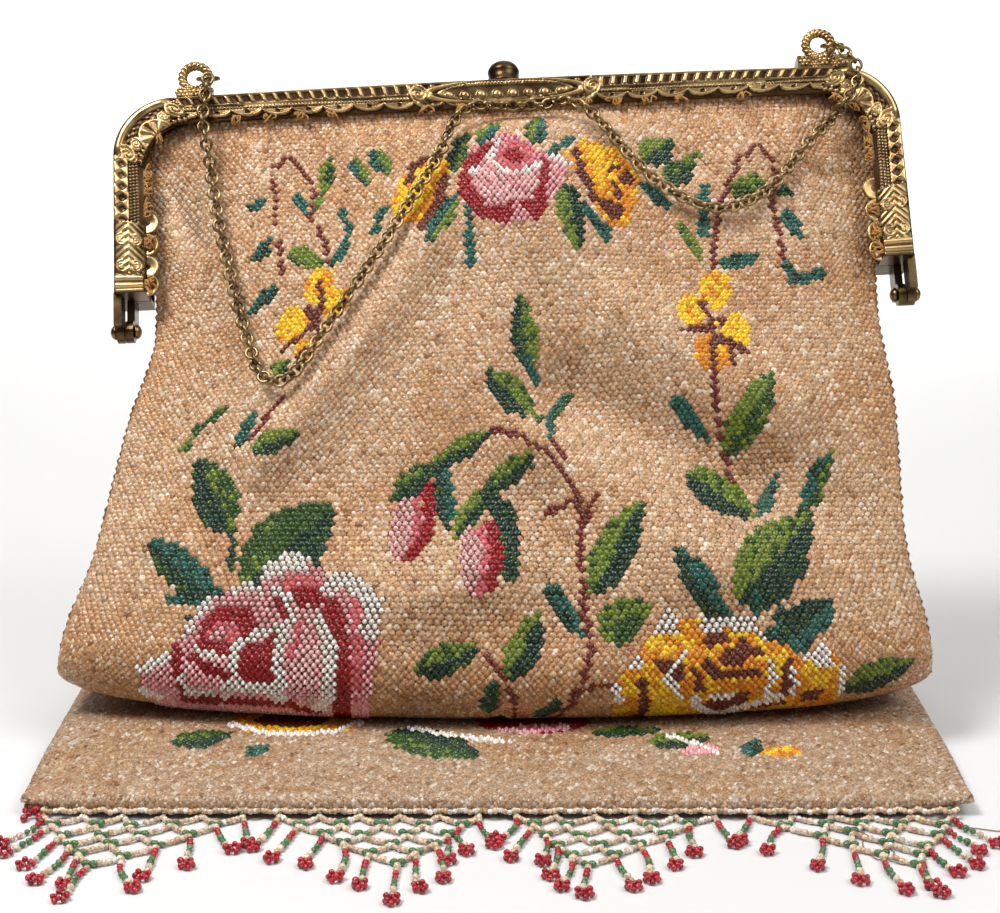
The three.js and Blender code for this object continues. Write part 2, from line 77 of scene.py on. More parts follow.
# Sections of the pouch, from the hem. front and back: half thickness to each side of the middle line.
Section = namedtuple("Section", "along half_width shift front back roll")
SECTIONS = [Section(*row) for row in (
    (0, 98.6, -0.6, 1.2, 3.8, 0),
    (30, 99.6, -0.6, 3.8, 3.8, 0),
    (82, 100, -0.8, 4, 3.8, 0),
    (102, 100, -1, 4.2, 4.6, 0),
    (134, 100, -1.4, 5.2, 5, 0),
    (148.6, 98.2, -0.8, 7, 5.2, 0),
    (168.6, 92.6, 0.3, 9, 6.5, 0.1),
    (198.6, 89, 2.8, 10.5, 7.5, 0.5),
    (222.6, 84.8, 4, 10, 7.5, 1),
    (232, 85, 3.8, 9.8, 7.3, 1),
    (240, 87.3, 3.3, 9.3, 7.1, 1),
    (246.6, 87.5, 2.8, 8.6, 6.8, 1),
    (265.6, 87.5, 1.8, 6.2, 6, 1),
    (270.6, 87.5, 1.5, 5.5, 5.5, 1),
    (276.2, 87.5, 1.3, 5.5, 5.5, 1),
)]

# Folds of the leaning front: a ridge or, below zero, a valley along a line from one place to another
Fold = namedtuple("Fold", "from_across from_up to_across to_up height reach")
FOLDS = [Fold(*row) for row in (
    (5, 117, 5, 106, 8.5, 24),
    (-17, 98, -52, 44, 3.5, 11),
    (2, 80, -8, 64, 3.5, 20),
    (-30, 2, -2, 16, 3, 9),
    (8, 26, 15, 8, -2, 8),
    (24, 70, 62, 48, 3.4, 8.5),
    (12, 53, 56, 32, -4.8, 7.5),
    (68, 28, 80, 26, -2.2, 8),
    (4, 40, 48, 16, 3, 8.5),
    (-50, 14, 60, 14, 2.2, 9),
    (-74, 112, -66, 94, -1.2, 4),
    (78, 118, 84, 96, -1, 4),
)]

# Small pleats where the cloth is sewn to the frame, and the sharper crests of its folds
PLEATS = [Fold(*row) for row in (
    (-62, 119, -59, 106, 0.9, 3.2),
    (-55, 120, -53, 108, -0.9, 2.6),
    (-44, 119, -43, 106, -0.8, 2.8),
    (-37, 119, -36, 104, 0.9, 3.4),
    (-27, 119, -29, 108, -0.8, 2.8),
    (42, 119, 44, 106, -0.9, 2.8),
    (50, 119, 53, 103, 1.0, 3.4),
    (59, 119, 63, 104, -1.1, 2.8),
    (66, 119, 71, 100, 1.0, 3.4),
    (72, 118, 77, 104, -0.9, 2.6),
    (-78, 107, -71, 95, -1.7, 3.2),
    (-73, 109, -67, 94, 1.6, 3.6),
    (-81, 98, -76, 84, 1.2, 3.4),
    (-20, 88, -56, 36, 2.2, 6),
    (62, 108, 72, 90, 1.8, 10),
)]

# The folds fade out below the bar, above the front turn and at the side edges.
FOLD_BAR_GAP = 0.5
FOLD_BAR_FADE = 8
FOLD_TURN_FROM = -5
FOLD_TURN_FADE = 15
FOLD_EDGE_FADE = 0.15

# Across the pouch the folded part is flat with round edges, and the leaning body is a lens.
FLAT_FULL = 1.06
FLAT_POWER = 6
LENS_POWER = 2.4
LENS_ROUND = 0.62
LENS_FROM = -10
LENS_FADE = 40
LENS_BAR_GAP = 6
LENS_BAR_FADE = 20

# The front turn sags onto the flap, most in the middle.
SAG_DOWN = 4.3
SAG_FORWARD = 9.5
SAG_AT_SIDES = 0.5
SAG_START = 112
SAG_FULL = 138
SAG_FADES = 142
SAG_END = 186

# Frame, in its own plane: across and up, with the top middle at zero
FRAME_HALF = 93
FRAME_DEPTH = 7
FRAME_CORNER = 14
FRAME_ARCH = 0.8
BAR_FACE = 6.4
ARM_FACE = 7.2
INNER_CORNER = 11
ARM_END = -48
CLASP_ACROSS = 1.1
RIVET_UP = -55.4
RIVET_ACROSS = 91.45

# Chain loops on the top edge, and the jump rings that hang in them
Loop = namedtuple("Loop", "across up block_from block_to block_top")
LOOPS = (Loop(-73.5, 5.2, -78, -69.5, 2.2), Loop(75.5, 6.2, 70, 83, 3.2))
LOOP_RING = 3.1
LOOP_DEPTH = 5.8
JUMP_RING = 2.4
JUMP_WIRE = 0.5
JUMP_DIP = math.radians(20)
JUMP_DROP = 0.6
JUMP_ROOM = 0.66

# The chain's way over the front, across and up, from the left loop to the right one
CHAIN_RADIUS = 1.4
CHAIN_GAP = 0.5
CHAIN_FRAME_GAP = 1.2
CHAIN_STEPS = 56
CHAIN_FINE_STEPS = 900
CHAIN_ROUTE = (
    (-70.4, 132.6), (-71, 127.8), (-71.4, 121), (-70.8, 117), (-68.7, 99), (-65, 79), (-60.5, 64.5),
    (-57, 57),
    (-54, 55), (-50, 57), (-43, 69), (-33.5, 83), (-25, 95), (-16.5, 108), (-12, 118), (-7, 121.6),
    (4, 122), (14, 121.6), (19, 118.5), (25.5, 110), (32, 102), (39, 97), (47, 94), (54, 95.5),
    (61, 99.5), (69, 108.5), (77, 116.6), (81.5, 121.4), (83.5, 126.6), (81.5, 131.1), (79, 133.2),
)

# Photo's camera: place in the row frame in metres, pitch down, lens for a 36 mm wide sensor
CAMERA_PLACE = (0.0011, -0.4196, 0.163)
CAMERA_PITCH = math.atan(446 / 2000)
CAMERA_LENS = 72
CAMERA_SENSOR = 36
CAMERA_NEAR = 0.01

# Pattern of the beads. Places are across and up the front's surface, from where the leaning body starts.
Leaf = namedtuple("Leaf", "across height length width turn light dark")
Stroke = namedtuple("Stroke", "colour width points")
Oval = namedtuple("Oval", "colour across height wide tall turn")
Patch = namedtuple("Patch", "colour points")

# Widths and lines of the stems
STEM_LINES = (
    (1.15, ((-55.6, 111.6), (-53.8, 113.9), (-52, 114.3), (-49.1, 110.4), (-46.2, 105.7))),
    (1.15, ((-46.2, 105.7), (-45.8, 103.8), (-47.3, 97.2))),
    (1.15, ((-45.6, 95.6), (-44, 91), (-43.7, 86))),
    (1.15, ((-55.5, 108.5), (-55.2, 103), (-55.6, 96.4))),
    (1.15, ((-55, 92.5), (-54.5, 86.7), (-54.6, 84))),
    (1.2, ((58.1, 111.4), (54, 107.3), (51.4, 102.4), (49.5, 97.5), (46.7, 90), (45.6, 80))),
    (1.2, ((58.1, 111.4), (61.4, 109), (62.7, 103.6), (60.8, 97.5), (61.5, 90), (62.2, 81.9))),
    (1.15, ((45, 58), (46, 50), (48, 42), (52, 32))),
    (1.25, ((-52, 53), (-56, 47), (-59, 42))),
    (1.35, ((-4, 43.3), (1.2, 42), (7.7, 38.5), (12.7, 33.6), (16.3, 29.2), (17.7, 23.9))),
    (1.35, ((17.7, 23.9), (17.8, 18.2), (18.8, 8), (20.8, 1), (19, -8), (11, -25))),
    (1.2, ((9.2, 41.1), (12.6, 36.7))),
    (1.25, ((9.9, 26.1), (15.8, 27.9))),
    (1.25, ((20.7, 29.7), (17.7, 23.1))),
    (1.15, ((16, -9), (26, -7))),
    (1.15, ((-2, -1), (4, -9), (5, -24))),
)
STEMS = [Stroke("stem", width, points) for width, points in STEM_LINES]

LEAVES = [Leaf(*row) for row in (
    # Round the top roses
    (-4.5, 115.2, 9, 4.4, 51, "lime", "teal"),
    (6.7, 115.5, 10, 4.8, 80, "lime", "teal"),
    (-12, 110.5, 13, 4.4, 68, "dark", "green"),
    (-16.9, 92.5, 14.5, 4.6, 235, "lime", "teal"),
    (13.3, 92.5, 16.5, 6.4, -82, "dark", "lime"),
    # Left garland
    (-59.7, 102.4, 6, 2.8, 30, "teal", "teal"),
    (-49.4, 101.7, 7, 2.8, -62, "teal", "teal"),
    (-43.1, 109.2, 8.5, 4, 82, "lime", "green"),
    (-58.6, 91, 8, 3.2, 55, "teal", "dark"),
    (-48.7, 88.2, 9.5, 5.2, -30, "lime", "lime"),
    (-58.7, 78.9, 10.5, 3, 46, "teal", "dark"),
    (-35, 108.5, 9, 4.4, -65, "lime", "teal"),
    (-30.1, 111.4, 7.5, 4.8, -70, "lime", "teal"),
    (-53.7, 60.5, 5.5, 4.4, 60, "lime", "dark"),
    # Right garland
    (34.9, 110.4, 10, 7.4, 35, "lime", "dark"),
    (39.8, 104.9, 9.5, 6.4, 30, "green", "dark"),
    (33.7, 98.5, 10, 3.6, -43, "teal", "teal"),
    (55.5, 100.8, 10, 5, 25, "lime", "green"),
    (40.7, 87.2, 11, 3.2, -65, "lime", "lime"),
    (52.1, 82.5, 10.5, 4, 15, "teal", "teal"),
    (64.4, 99.1, 4.4, 3.2, -20, "teal", "dark"),
    (65, 91, 8.5, 3.8, -60, "teal", "teal"),
    # Centre branch
    (1.8, 65.8, 17, 6.2, 100, "dark", "lime"),
    (-0.8, 52.1, 15.5, 7.4, 138, "dark", "lime"),
    (11.3, 49.9, 9.5, 3.2, 58, "teal", "green"),
    (-11.2, 38.9, 16, 5, 211, "dark", "lime"),
    (-21.3, 32, 12.5, 5.4, 222, "dark", "green"),
    (-13.5, 29.2, 14, 4.8, -75, "teal", "dark"),
    (0.6, 33.6, 13.5, 5.2, 213, "dark", "lime"),
    (-7.6, 25.3, 11.5, 5.4, 238, "dark", "lime"),
    (25.5, 19.1, 20.5, 8.8, 58, "lime", "dark"),
    (28, 6, 12.5, 8.4, 20, "lime", "green"),
    (-11, -1.5, 15, 6.8, 20, "lime", "dark"),
    (6, 1, 14.5, 7.6, 62, "lime", "dark"),
    (14.5, 8, 13.5, 4.2, -48, "teal", "dark"),
    (-1, -11, 10, 4.4, 80, "teal", "dark"),
    (12, -15, 9, 4.2, 60, "teal", "dark"),
    (0.5, -21, 9, 4.6, 75, "dark", "dark"),
    # Left lower garland
    (-66, 31, 20, 9.6, 118, "dark", "green"),
    (-60, 45.5, 10.5, 3.2, 65, "teal", "teal"),
    (-53, 41.5, 11.5, 6, 15, "lime", "dark"),
    (-47.5, 19.5, 25, 16, 40, "green", "dark"),
    (-69, 13, 27, 7.4, -37, "teal", "dark"),
    # Right lower garland
    (41, 46, 14.5, 3.8, -45, "teal", "teal"),
    (54.5, 47, 19.5, 8.6, 62, "lime", "green"),
    (49, 30, 19, 8, -30, "lime", "dark"),
    (60, 30, 9.5, 3.4, 63, "teal", "teal"),
    (71, 32.5, 15, 4.8, 65, "teal", "green"),
    (61.5, 17, 25, 14.5, 45, "lime", "dark"),
    (46, 9.5, 25, 5.6, -50, "teal", "dark"),
    (67, 3, 20.5, 9.4, 35, "dark", "teal"),
    (86, -10, 18.5, 9.4, 18, "lime", "dark"),
)]

TENDRILS = [Stroke(*row) for row in (
    ("teal", 1.7, ((-10.3, 97.4), (-10.7, 82.2))),
    ("teal", 2.1, ((14.2, 111.7), (8.4, 107.2))),
    ("teal", 2.2, ((20.8, 90.3), (20.8, 86.7))),
    ("teal", 1.6, ((16, 95), (19.8, 89.6))),
    ("lime", 1.6, ((-43.4, 106), (-45.9, 101))),
    ("teal", 1.8, ((-39.7, 99.1), (-38.3, 94.5), (-39.3, 90.6), (-42.2, 86.3))),
    ("teal", 1.9, ((-30, 98.3), (-32.8, 92.5))),
    ("lime", 2, ((42.4, 108.1), (44.7, 110.2))),
    ("teal", 2.6, ((45.4, 100.8), (44, 89.3))),
    ("teal", 2.7, ((63, 80.7), (64.6, 77.2), (70.9, 79))),
    ("teal", 1.8, ((2.8, 60), (5.2, 55))),
    ("lime", 1.8, ((3.4, 48.2), (7, 46))),
    ("teal", 1.8, ((9.2, 46), (9.3, 42.4))),
    ("green", 2, ((-66, 51), (-71, 47), (-74.5, 42))),
    ("dark", 1.8, ((-60.5, 23), (-60, 15))),
    ("teal", 1.5, ((57, 10), (57, 2), (61, -2))),
    ("teal", 1.5, ((62.5, 8), (61.5, 2))),
    ("teal", 1.6, ((-73, 9), (-66, 8))),
    ("teal", 1.6, ((-68, 5), (-61, 4.5))),
)]

TOP_ROSE = (
    Patch("pink", (
        (-9.5, 110.8), (-0.8, 114.4), (4.6, 111.4), (7.1, 109), (13.8, 105.4), (11.7, 99.2), (7.5, 94.7),
        (5.1, 91.2), (-3.2, 90.4), (-9.5, 93.6), (-12.4, 99.2), (-11.9, 104.5),
    )),
    Oval("rose", 1, 107.6, 8.6, 7.6, 0),
    Oval("crimson", 1, 107.6, 4.4, 4.4, 0),
    Patch("blush", ((-9, 105), (-5, 106), (-1, 102.5), (6, 103.5), (5.5, 97), (0, 95.6), (-7, 96))),
    Stroke("crimson", 3, ((-5.3, 110.4), (-9.9, 106.3), (-11.1, 100.1), (-8.6, 96.5))),
    Patch("crimson", ((-9.7, 95), (0.3, 95.6), (-1, 91.2), (-8, 92))),
    Patch("crimson", ((1.8, 95.6), (7.6, 97), (7.3, 93.6), (5.1, 91))),
    Stroke("crimson", 2, ((8, 106), (7.6, 101), (5.8, 96.5))),
    Stroke("white", 1.7, (
        (-2.4, 112.1), (-4.9, 109), (-4.1, 106.3), (-0.8, 103.2), (3.4, 103.4), (6.8, 105),
    )),
    Stroke("white", 1.7, ((10, 107), (13.6, 105.2))),
    Stroke("white", 1.4, ((-9.8, 104.2), (-7, 105.6))),
)

TOP_BUDS = (
    Oval("amber", -20.9, 101.6, 19.5, 11, 61),
    Oval("yellow", -22.6, 102.4, 16, 8, 61),
    Stroke("russet", 2.2, ((-17.5, 110.2), (-22.5, 108.4), (-24, 104.8))),
    Stroke("russet", 2.4, ((-15.4, 103.4), (-17.2, 97.4), (-21.4, 91.6))),
    Patch("amber", (
        (12.8, 108), (18, 112.4), (25.6, 110.2), (30.4, 103), (29, 97.5), (26, 90.4), (22, 90.4), (18, 97),
    )),
    Patch("yellow", ((17.6, 110.6), (23.6, 110.4), (26, 105), (22, 99.6), (19.4, 101.8))),
    Stroke("russet", 2, ((15.6, 109.4), (16.6, 103), (19.2, 97))),
    Patch("russet", ((18.6, 97.6), (26, 95.6), (24.6, 91.6), (21.6, 92.2))),
    Oval("russet", 27, 102.6, 3.6, 4, 0),
    Stroke("russet", 1.5, ((23.4, 104.6), (25.4, 105.8))),
    Stroke("russet", 1.5, ((23.8, 101.2), (25.2, 97.6))),
)

PANSIES = (
    Oval("yellow", -45.8, 80.8, 7, 9, -20),
    Oval("yellow", -51.8, 71.9, 7.2, 8.8, -20),
    Oval("yellow", -42, 75.8, 5.6, 8, -35),
    Oval("amber", -48.2, 65, 5.6, 5.6, 0),
    Stroke("amber", 1.5, ((-43.4, 83.6), (-43, 79.6))),
    Stroke("amber", 1.6, ((-54.6, 70.6), (-54, 68))),
    Stroke("russet", 1.6, ((-45.8, 81.4), (-44.8, 77.3), (-46.2, 71.9), (-48.7, 69.4), (-53.7, 65.6))),
    Stroke("russet", 1.6, ((-48.7, 75.4), (-46.4, 71.8), (-45.4, 67.6))),
    Stroke("russet", 1.6, ((-48.6, 64.4), (-50.2, 61.6))),
    Oval("yellow", 45.8, 75.2, 7.6, 9.4, 0),
    Oval("yellow", 40.2, 70.2, 6.4, 9.2, 14),
    Oval("yellow", 50.6, 65.2, 6.4, 8.4, 12),
    Oval("amber", 45.3, 60.2, 8.8, 9, 0),
    Stroke("amber", 1.6, ((44.4, 78.8), (46.6, 77))),
    Stroke("russet", 1.6, ((42.6, 72), (44.8, 68), (47.8, 67.8))),
    Stroke("russet", 1.8, ((38, 65), (43.7, 65.6), (48, 62.8), (53, 60.6))),
    Stroke("russet", 1.7, ((44.8, 68), (44.6, 65))),
    Stroke("russet", 2, ((45, 62.4), (45.4, 57))),
    Stroke("russet", 1.5, ((49.4, 61.4), (49.6, 57.4))),
    Oval("yellow", 45.6, 67.2, 1.8, 1.8, 0),
)

BRANCH_BUDS = (
    Oval("blush", -21.6, 23.2, 7.6, 12.8, -8),
    Stroke("rose", 1.6, ((-19.6, 28.6), (-18.8, 22.4), (-20, 18.6))),
    Stroke("crimson", 2.8, ((-17.4, 30.6), (-16.2, 26.1), (-16.8, 20.9), (-19.8, 17.4))),
    Stroke("dark", 4, ((-3.5, 29.2), (1.6, 24.6), (2.4, 14.3))),
    Oval("blush", -5.8, 16.6, 6.6, 13.4, 12),
    Stroke("rose", 2.2, ((-4.2, 22.4), (-2.6, 18), (-4, 11))),
    Stroke("crimson", 3, ((-2.4, 23.1), (-0.4, 18.6), (-1.6, 12))),
)

BIG_ROSE = (
    Oval("pink", -52, -25, 47, 21, 0),
    Stroke("crimson", 3, ((-66, -29), (-54, -32), (-42, -30))),
    Stroke("white", 1.9, ((-72, -27), (-62, -33), (-48, -34.6), (-36, -31))),
    Patch("pink", (
        (-79.8, -6.4), (-72, -2.9), (-70.7, 0), (-67.6, 6), (-64.4, 9.1), (-58.9, 11.3), (-53, 11.5),
        (-51.8, 14.5), (-47, 17.4), (-43.9, 17.4), (-37.9, 14.5), (-38, 12), (-35.2, 13.9), (-31.2, 12.7),
        (-26.3, 10.8), (-25.6, -0.4), (-27.2, -7.5), (-28, -27), (-55, -27), (-76, -20.8),
    )),
    Patch("rose", ((-50.6, 13.7), (-39, 13.7), (-40, 10.8), (-46, 10.3))),
    Patch("crimson", ((-46.4, 11.3), (-38.6, 12.2), (-39.2, 8.1), (-44.6, 7.9))),
    Stroke("crimson", 4.4, ((-36.4, 7.7), (-34.4, -0.4), (-33.8, -9.8), (-34.2, -25.8))),
    Stroke("rose", 2.6, ((-31, 8.3), (-30.4, -0.4), (-30.4, -10.9))),
    Oval("crimson", -59.2, 2.5, 13.6, 11, 20),
    Oval("rose", -60.4, 2.7, 7.6, 4.4, 10),
    Oval("pink", -61.6, 2.3, 4.4, 2.2, 10),
    Patch("crimson", ((-49, 2.7), (-57.2, -1.1), (-57.2, -7.3), (-47.8, -7.8), (-48.2, 1.2))),
    Stroke("crimson", 2, ((-48.2, 9.8), (-47, 6))),
    Stroke("crimson", 2, ((-70.8, -0.9), (-70.6, -7.1), (-68.6, -15.8))),
    Stroke("crimson", 2, ((-67, -2.7), (-63, -5.8), (-59, -6.9))),
    Stroke("crimson", 3.4, ((-68, -15.3), (-58, -14.2), (-47, -14), (-40, -17))),
    Patch("blush", (
        (-45.4, 6.4), (-42, 8.5), (-37.4, 3.5), (-36.2, -4.2), (-38, -14.5), (-43, -14.5), (-45.6, -4.2),
    )),
    Stroke("rose", 1.7, ((-43.6, 4.8), (-44.2, 1), (-46, -2.7))),
    Stroke("white", 1.8, ((-64.6, 8.8), (-68.2, 3.9), (-69.4, 1.2))),
    Stroke("white", 1.7, ((-58.8, 11), (-55.4, 11.7), (-52.2, 10.5))),
    Stroke("white", 1.7, ((-49.4, 10.7), (-46.4, 9.5), (-46, 6.2))),
    Stroke("white", 1.9, ((-49.2, 3.7), (-54, 2.1), (-57.8, -0.4), (-57.8, -5.8))),
    Stroke("white", 2.6, ((-45.8, 5.4), (-48.2, 1.2), (-48.2, -3.8), (-46.8, -8.7))),
    Stroke("white", 1.7, ((-66.6, -0.4), (-64, -2.3), (-60.4, -2.5))),
    Stroke("white", 1.7, ((-70, -8), (-68.4, -11.6), (-62.6, -12), (-59.8, -12.5))),
    Stroke("white", 3, ((-59.4, -9.8), (-49.4, -9.5), (-47.2, -12.8))),
    Stroke("white", 3.4, ((-39.2, 5.4), (-36.6, 0.6), (-36.4, -10.9), (-38.8, -15))),
    Stroke("white", 3.4, ((-51.4, 14.2), (-47.2, 16.8), (-43.8, 16.4))),
    Stroke("white", 3.4, ((-37.6, 11.7), (-34.6, 13.4), (-31.6, 11.7))),
    Stroke("white", 4.2, ((-28.8, 10), (-27, 7.9), (-28, 4.1))),
    Stroke("white", 2.4, ((-79, -7.1), (-72.6, -3.6))),
    Stroke("white", 3.2, ((-78.4, -13.7), (-75.8, -15))),
)

YELLOW_ROSE = (
    Oval("amber", 51.5, -25, 49, 19, 0),
    Stroke("russet", 2.4, ((38, -28), (50, -30.6), (64, -28))),
    Stroke("white", 1.8, ((30, -27), (42, -32.4), (58, -33), (70, -28))),
    Patch("amber", (
        (25.6, -6.9), (28.5, -4), (31.5, 0.1), (34.2, 3.8), (37.7, 7.8), (39.9, 6.3), (44, 5.6), (47, 5.7),
        (56.3, 5.1), (58.9, 2), (65.3, -0.4), (67.9, -3.5), (72, 0.2), (75.5, -3.5), (77.2, -9.3),
        (76.6, -27), (49, -27), (26.5, -27),
    )),
    Patch("yellow", ((33, 2.2), (38, 5.3), (42, 2), (40.6, -0.4), (33.2, 0.2))),
    Patch("yellow", ((33.8, -11.9), (37.6, -7.1), (43, -12.4), (44.6, -25.8), (34, -25.8))),
    Oval("yellow", 31, -7.9, 7, 6.4, 30),
    Oval("yellow", 71.8, -6.6, 8.4, 8, 0),
    Oval("yellow", 63, -3.9, 7.4, 5, -20),
    Stroke("yellow", 1.8, ((46, 1), (47.6, -5.2), (46.4, -8.5))),
    Stroke("yellow", 1.7, ((49, 2), (54, 2.4), (58.4, 0.2))),
    Patch("russet", ((34.8, -2.1), (41.4, -2.1), (41.8, -7.1), (38.6, -6.6), (36.4, -5.2))),
    Stroke("russet", 2.2, ((32.4, -7.4), (33, -14.6), (32, -24.7))),
    Oval("russet", 52.6, -2, 7.2, 3.8, 0),
    Stroke("russet", 2.2, ((46.4, 1.2), (50.4, 2))),
    Stroke("russet", 2, ((54, 0.6), (57.8, -1.5))),
    Stroke("russet", 1.8, ((46.6, -3.3), (48.4, -6), (50, -6.2))),
    Stroke("russet", 2.4, ((49.6, -6.2), (57.2, -6.2))),
    Stroke("russet", 1.7, ((44, -4.5), (45.2, -9.3))),
    Patch("russet", ((46, -14.6), (49, -11.4), (57.4, -11.1), (54, -16.4), (50, -18))),
    Stroke("russet", 2.6, ((64.6, -4.5), (65, -11.4))),
    Patch("russet", ((68.4, -11.9), (73, -11.9), (72.8, -16.2), (68.6, -16.2))),
    Stroke("russet", 1.8, ((58, -16.7), (65, -15.9))),
    Patch("white", ((33.6, 2.8), (37.7, 8), (40.2, 5.9), (39.6, 2.4), (36.6, 3.1))),
    Patch("white", ((28.4, -4.1), (31.6, 0.2), (32.8, -3.9))),
    Stroke("white", 2.2, ((26.2, -7.7), (27.8, -12.2))),
    Stroke("white", 2.8, ((46.2, 4.3), (51, 4.9), (56.4, 4.1))),
    Stroke("white", 1.5, ((58.6, 2.4), (59.2, 1.6))),
    Stroke("white", 1.6, ((41.4, -1.3), (37.6, -6), (41.4, -11.1))),
    Stroke("white", 2.6, ((44, -12.4), (47, -17.2), (50.4, -20.4), (54.4, -17), (60.4, -14.3), (63, -13))),
    Stroke("white", 1.5, ((48, -11.6), (52, -11.6))),
    Stroke("white", 1.7, ((60.2, -3.7), (61.6, -6.6), (59.8, -10.3), (60.2, -13.2))),
    Stroke("white", 1.6, ((65.6, -5.4), (66.8, -9.8), (65.8, -11.9))),
    Patch("white", ((67.8, -3.7), (72, 0.4), (76.6, -6.6), (71, -5.4))),
    Stroke("white", 1.6, ((76.6, -6.6), (77, -12.7))),
)

# Pattern of the flap. Places are across and from the hem.
FLAP_LEAVES = [Leaf(*row) for row in (
    (-64.5, 26, 14, 9.6, 25, "green", "dark"),
    (-52, 20, 7, 4.6, 60, "teal", "teal"),
    (-14, 23, 25, 13, -35, "dark", "green"),
    (29, 30, 16, 6, 8, "green", "dark"),
    (40, 25, 15, 8, 20, "lime", "dark"),
    (55.5, 21, 9, 5, 70, "teal", "dark"),
)]

FLAP_FLOWERS = (
    Oval("amber", -45, 36, 30, 17, 0),
    Oval("russet", -46, 37, 17, 9, 0),
    Stroke("white", 1.9, ((-59, 34), (-52, 29), (-44, 28), (-36, 30), (-31, 35))),
    Stroke("yellow", 1.8, ((-54, 33), (-46, 31.4), (-38, 33))),
    Oval("crimson", 8, 36, 25, 15, 0),
    Oval("rose", 10, 32, 13, 5, 10),
    Stroke("pink", 1.8, ((0, 31), (7, 29), (16, 32))),
    Stroke("white", 1.8, ((-19, 31.5), (-10, 27.4), (-3, 25.4), (2, 24))),
    Oval("pink", 44, 20, 8, 5, 20),
    Stroke("white", 1.8, ((38, 27), (44, 22), (47, 18.5))),
    Oval("amber", 61.5, 19, 9, 4.6, 10),
    Stroke("yellow", 1.7, ((58.6, 19), (63.6, 20))),
)


def colour_property(name, description, default):
    """A colour that a user may change."""
    return bpy.props.FloatVectorProperty(
        name=name, description=description, subtype="COLOR", size=3, min=0, max=1, default=default
    )


def length_property(name, description, millimetres):
    """A length that a user may change."""
    return bpy.props.FloatProperty(
        name=name, description=description, unit="LENGTH", min=0, precision=5, default=millimetres * MM
    )


def power_property(name, description, watts):
    """A light's power that a user may change."""
    return bpy.props.FloatProperty(name=name, description=description, unit="POWER", default=watts)


class BagSizes(bpy.types.PropertyGroup):
    """Sizes of the beads, links and threads."""

    bead_pitch: length_property("Bead pitch", "Between beads in a row", 1.6)
    bead_row: length_property("Row height", "Between rows of beads", 0.98)
    bead_width: length_property("Bead width", "Across one bead of the cloth", 1.3)
    bead_length: length_property("Bead length", "Along one bead of the cloth", 1.38)
    bead_rise: length_property("Bead rise", "Bead's top over the thread", 0.66)
    net_bead: length_property("Net bead", "Across one bead of the fringe", 1.5)
    link_outer: length_property("Link", "Across one chain link", 3.5)
    link_wire: length_property("Link wire", "Thickness of a link's wire", 0.78)
    thread: length_property("Thread", "Thickness of the sewing thread", 0.42)


class BagColours(bpy.types.PropertyGroup):
    """Colours of the beads, threads and metal."""

    tan: colour_property("Tan", "Ground beads", (0.565, 0.34, 0.187))
    pale: colour_property("Pale", "Light ground beads", (0.62, 0.41, 0.24))
    clear: colour_property("Clear", "Clear ground beads", (0.76, 0.6, 0.44))
    brown: colour_property("Brown", "Stained ground beads", (0.38, 0.19, 0.08))
    lime: colour_property("Lime", "Light leaf beads", (0.145, 0.205, 0.018))
    green: colour_property("Green", "Leaf beads", (0.03, 0.075, 0.009))
    dark: colour_property("Dark green", "Shaded leaf beads", (0.008, 0.034, 0.015))
    teal: colour_property("Teal", "Blue-green leaf beads", (0.016, 0.1, 0.074))
    stem: colour_property("Stem", "Stem beads", (0.16, 0.022, 0.011))
    crimson: colour_property("Crimson", "Deep rose beads", (0.27, 0.004, 0.008))
    rose: colour_property("Rose", "Middle rose beads", (0.56, 0.11, 0.125))
    pink: colour_property("Pink", "Rose beads", (0.86, 0.39, 0.42))
    blush: colour_property("Blush", "Light rose beads", (0.92, 0.57, 0.56))
    white: colour_property("White", "Outline beads", (0.94, 0.9, 0.85))
    yellow: colour_property("Yellow", "Light yellow beads", (0.88, 0.55, 0.015))
    amber: colour_property("Amber", "Orange beads", (0.72, 0.25, 0.006))
    russet: colour_property("Russet", "Brown beads", (0.13, 0.022, 0.007))
    red: colour_property("Red", "Fringe drops", (0.44, 0.008, 0.02))
    grass: colour_property("Grass", "Fringe greens", (0.075, 0.2, 0.07))
    thread: colour_property("Thread", "Gold knitting thread", (0.3, 0.17, 0.08))
    stitch: colour_property("Stitch", "Orange sewing thread", (0.6, 0.28, 0.035))
    gilt: colour_property("Gilt", "Worn gilt brass", (0.7, 0.485, 0.225))
    tarnish: colour_property("Tarnish", "Brass in the recesses", (0.06, 0.034, 0.018))
    chain: colour_property("Chain", "Darkened chain brass", (0.37, 0.27, 0.13))


class BagStage(bpy.types.PropertyGroup):
    """Light and floor."""

    key_power: power_property("Key light", "Power of the light at the left", 4.8)
    fill_power: power_property("Fill light", "Power of the light at the right", 3.9)
    top_power: power_property("Top light", "Power of the light above", 2.0)
    wall_power: power_property("Wall light", "Power of the light on the wall behind", 14)
    surround: bpy.props.FloatProperty(
        name="Surround", description="Strength of the white surroundings", subtype="FACTOR", default=0.16
    )
    floor: colour_property("Floor", "Pale table top", (0.7, 0.697, 0.69))


def smooth_step(value):
    value = np.clip(value, 0, 1)
    return value * value * (3 - 2 * value)


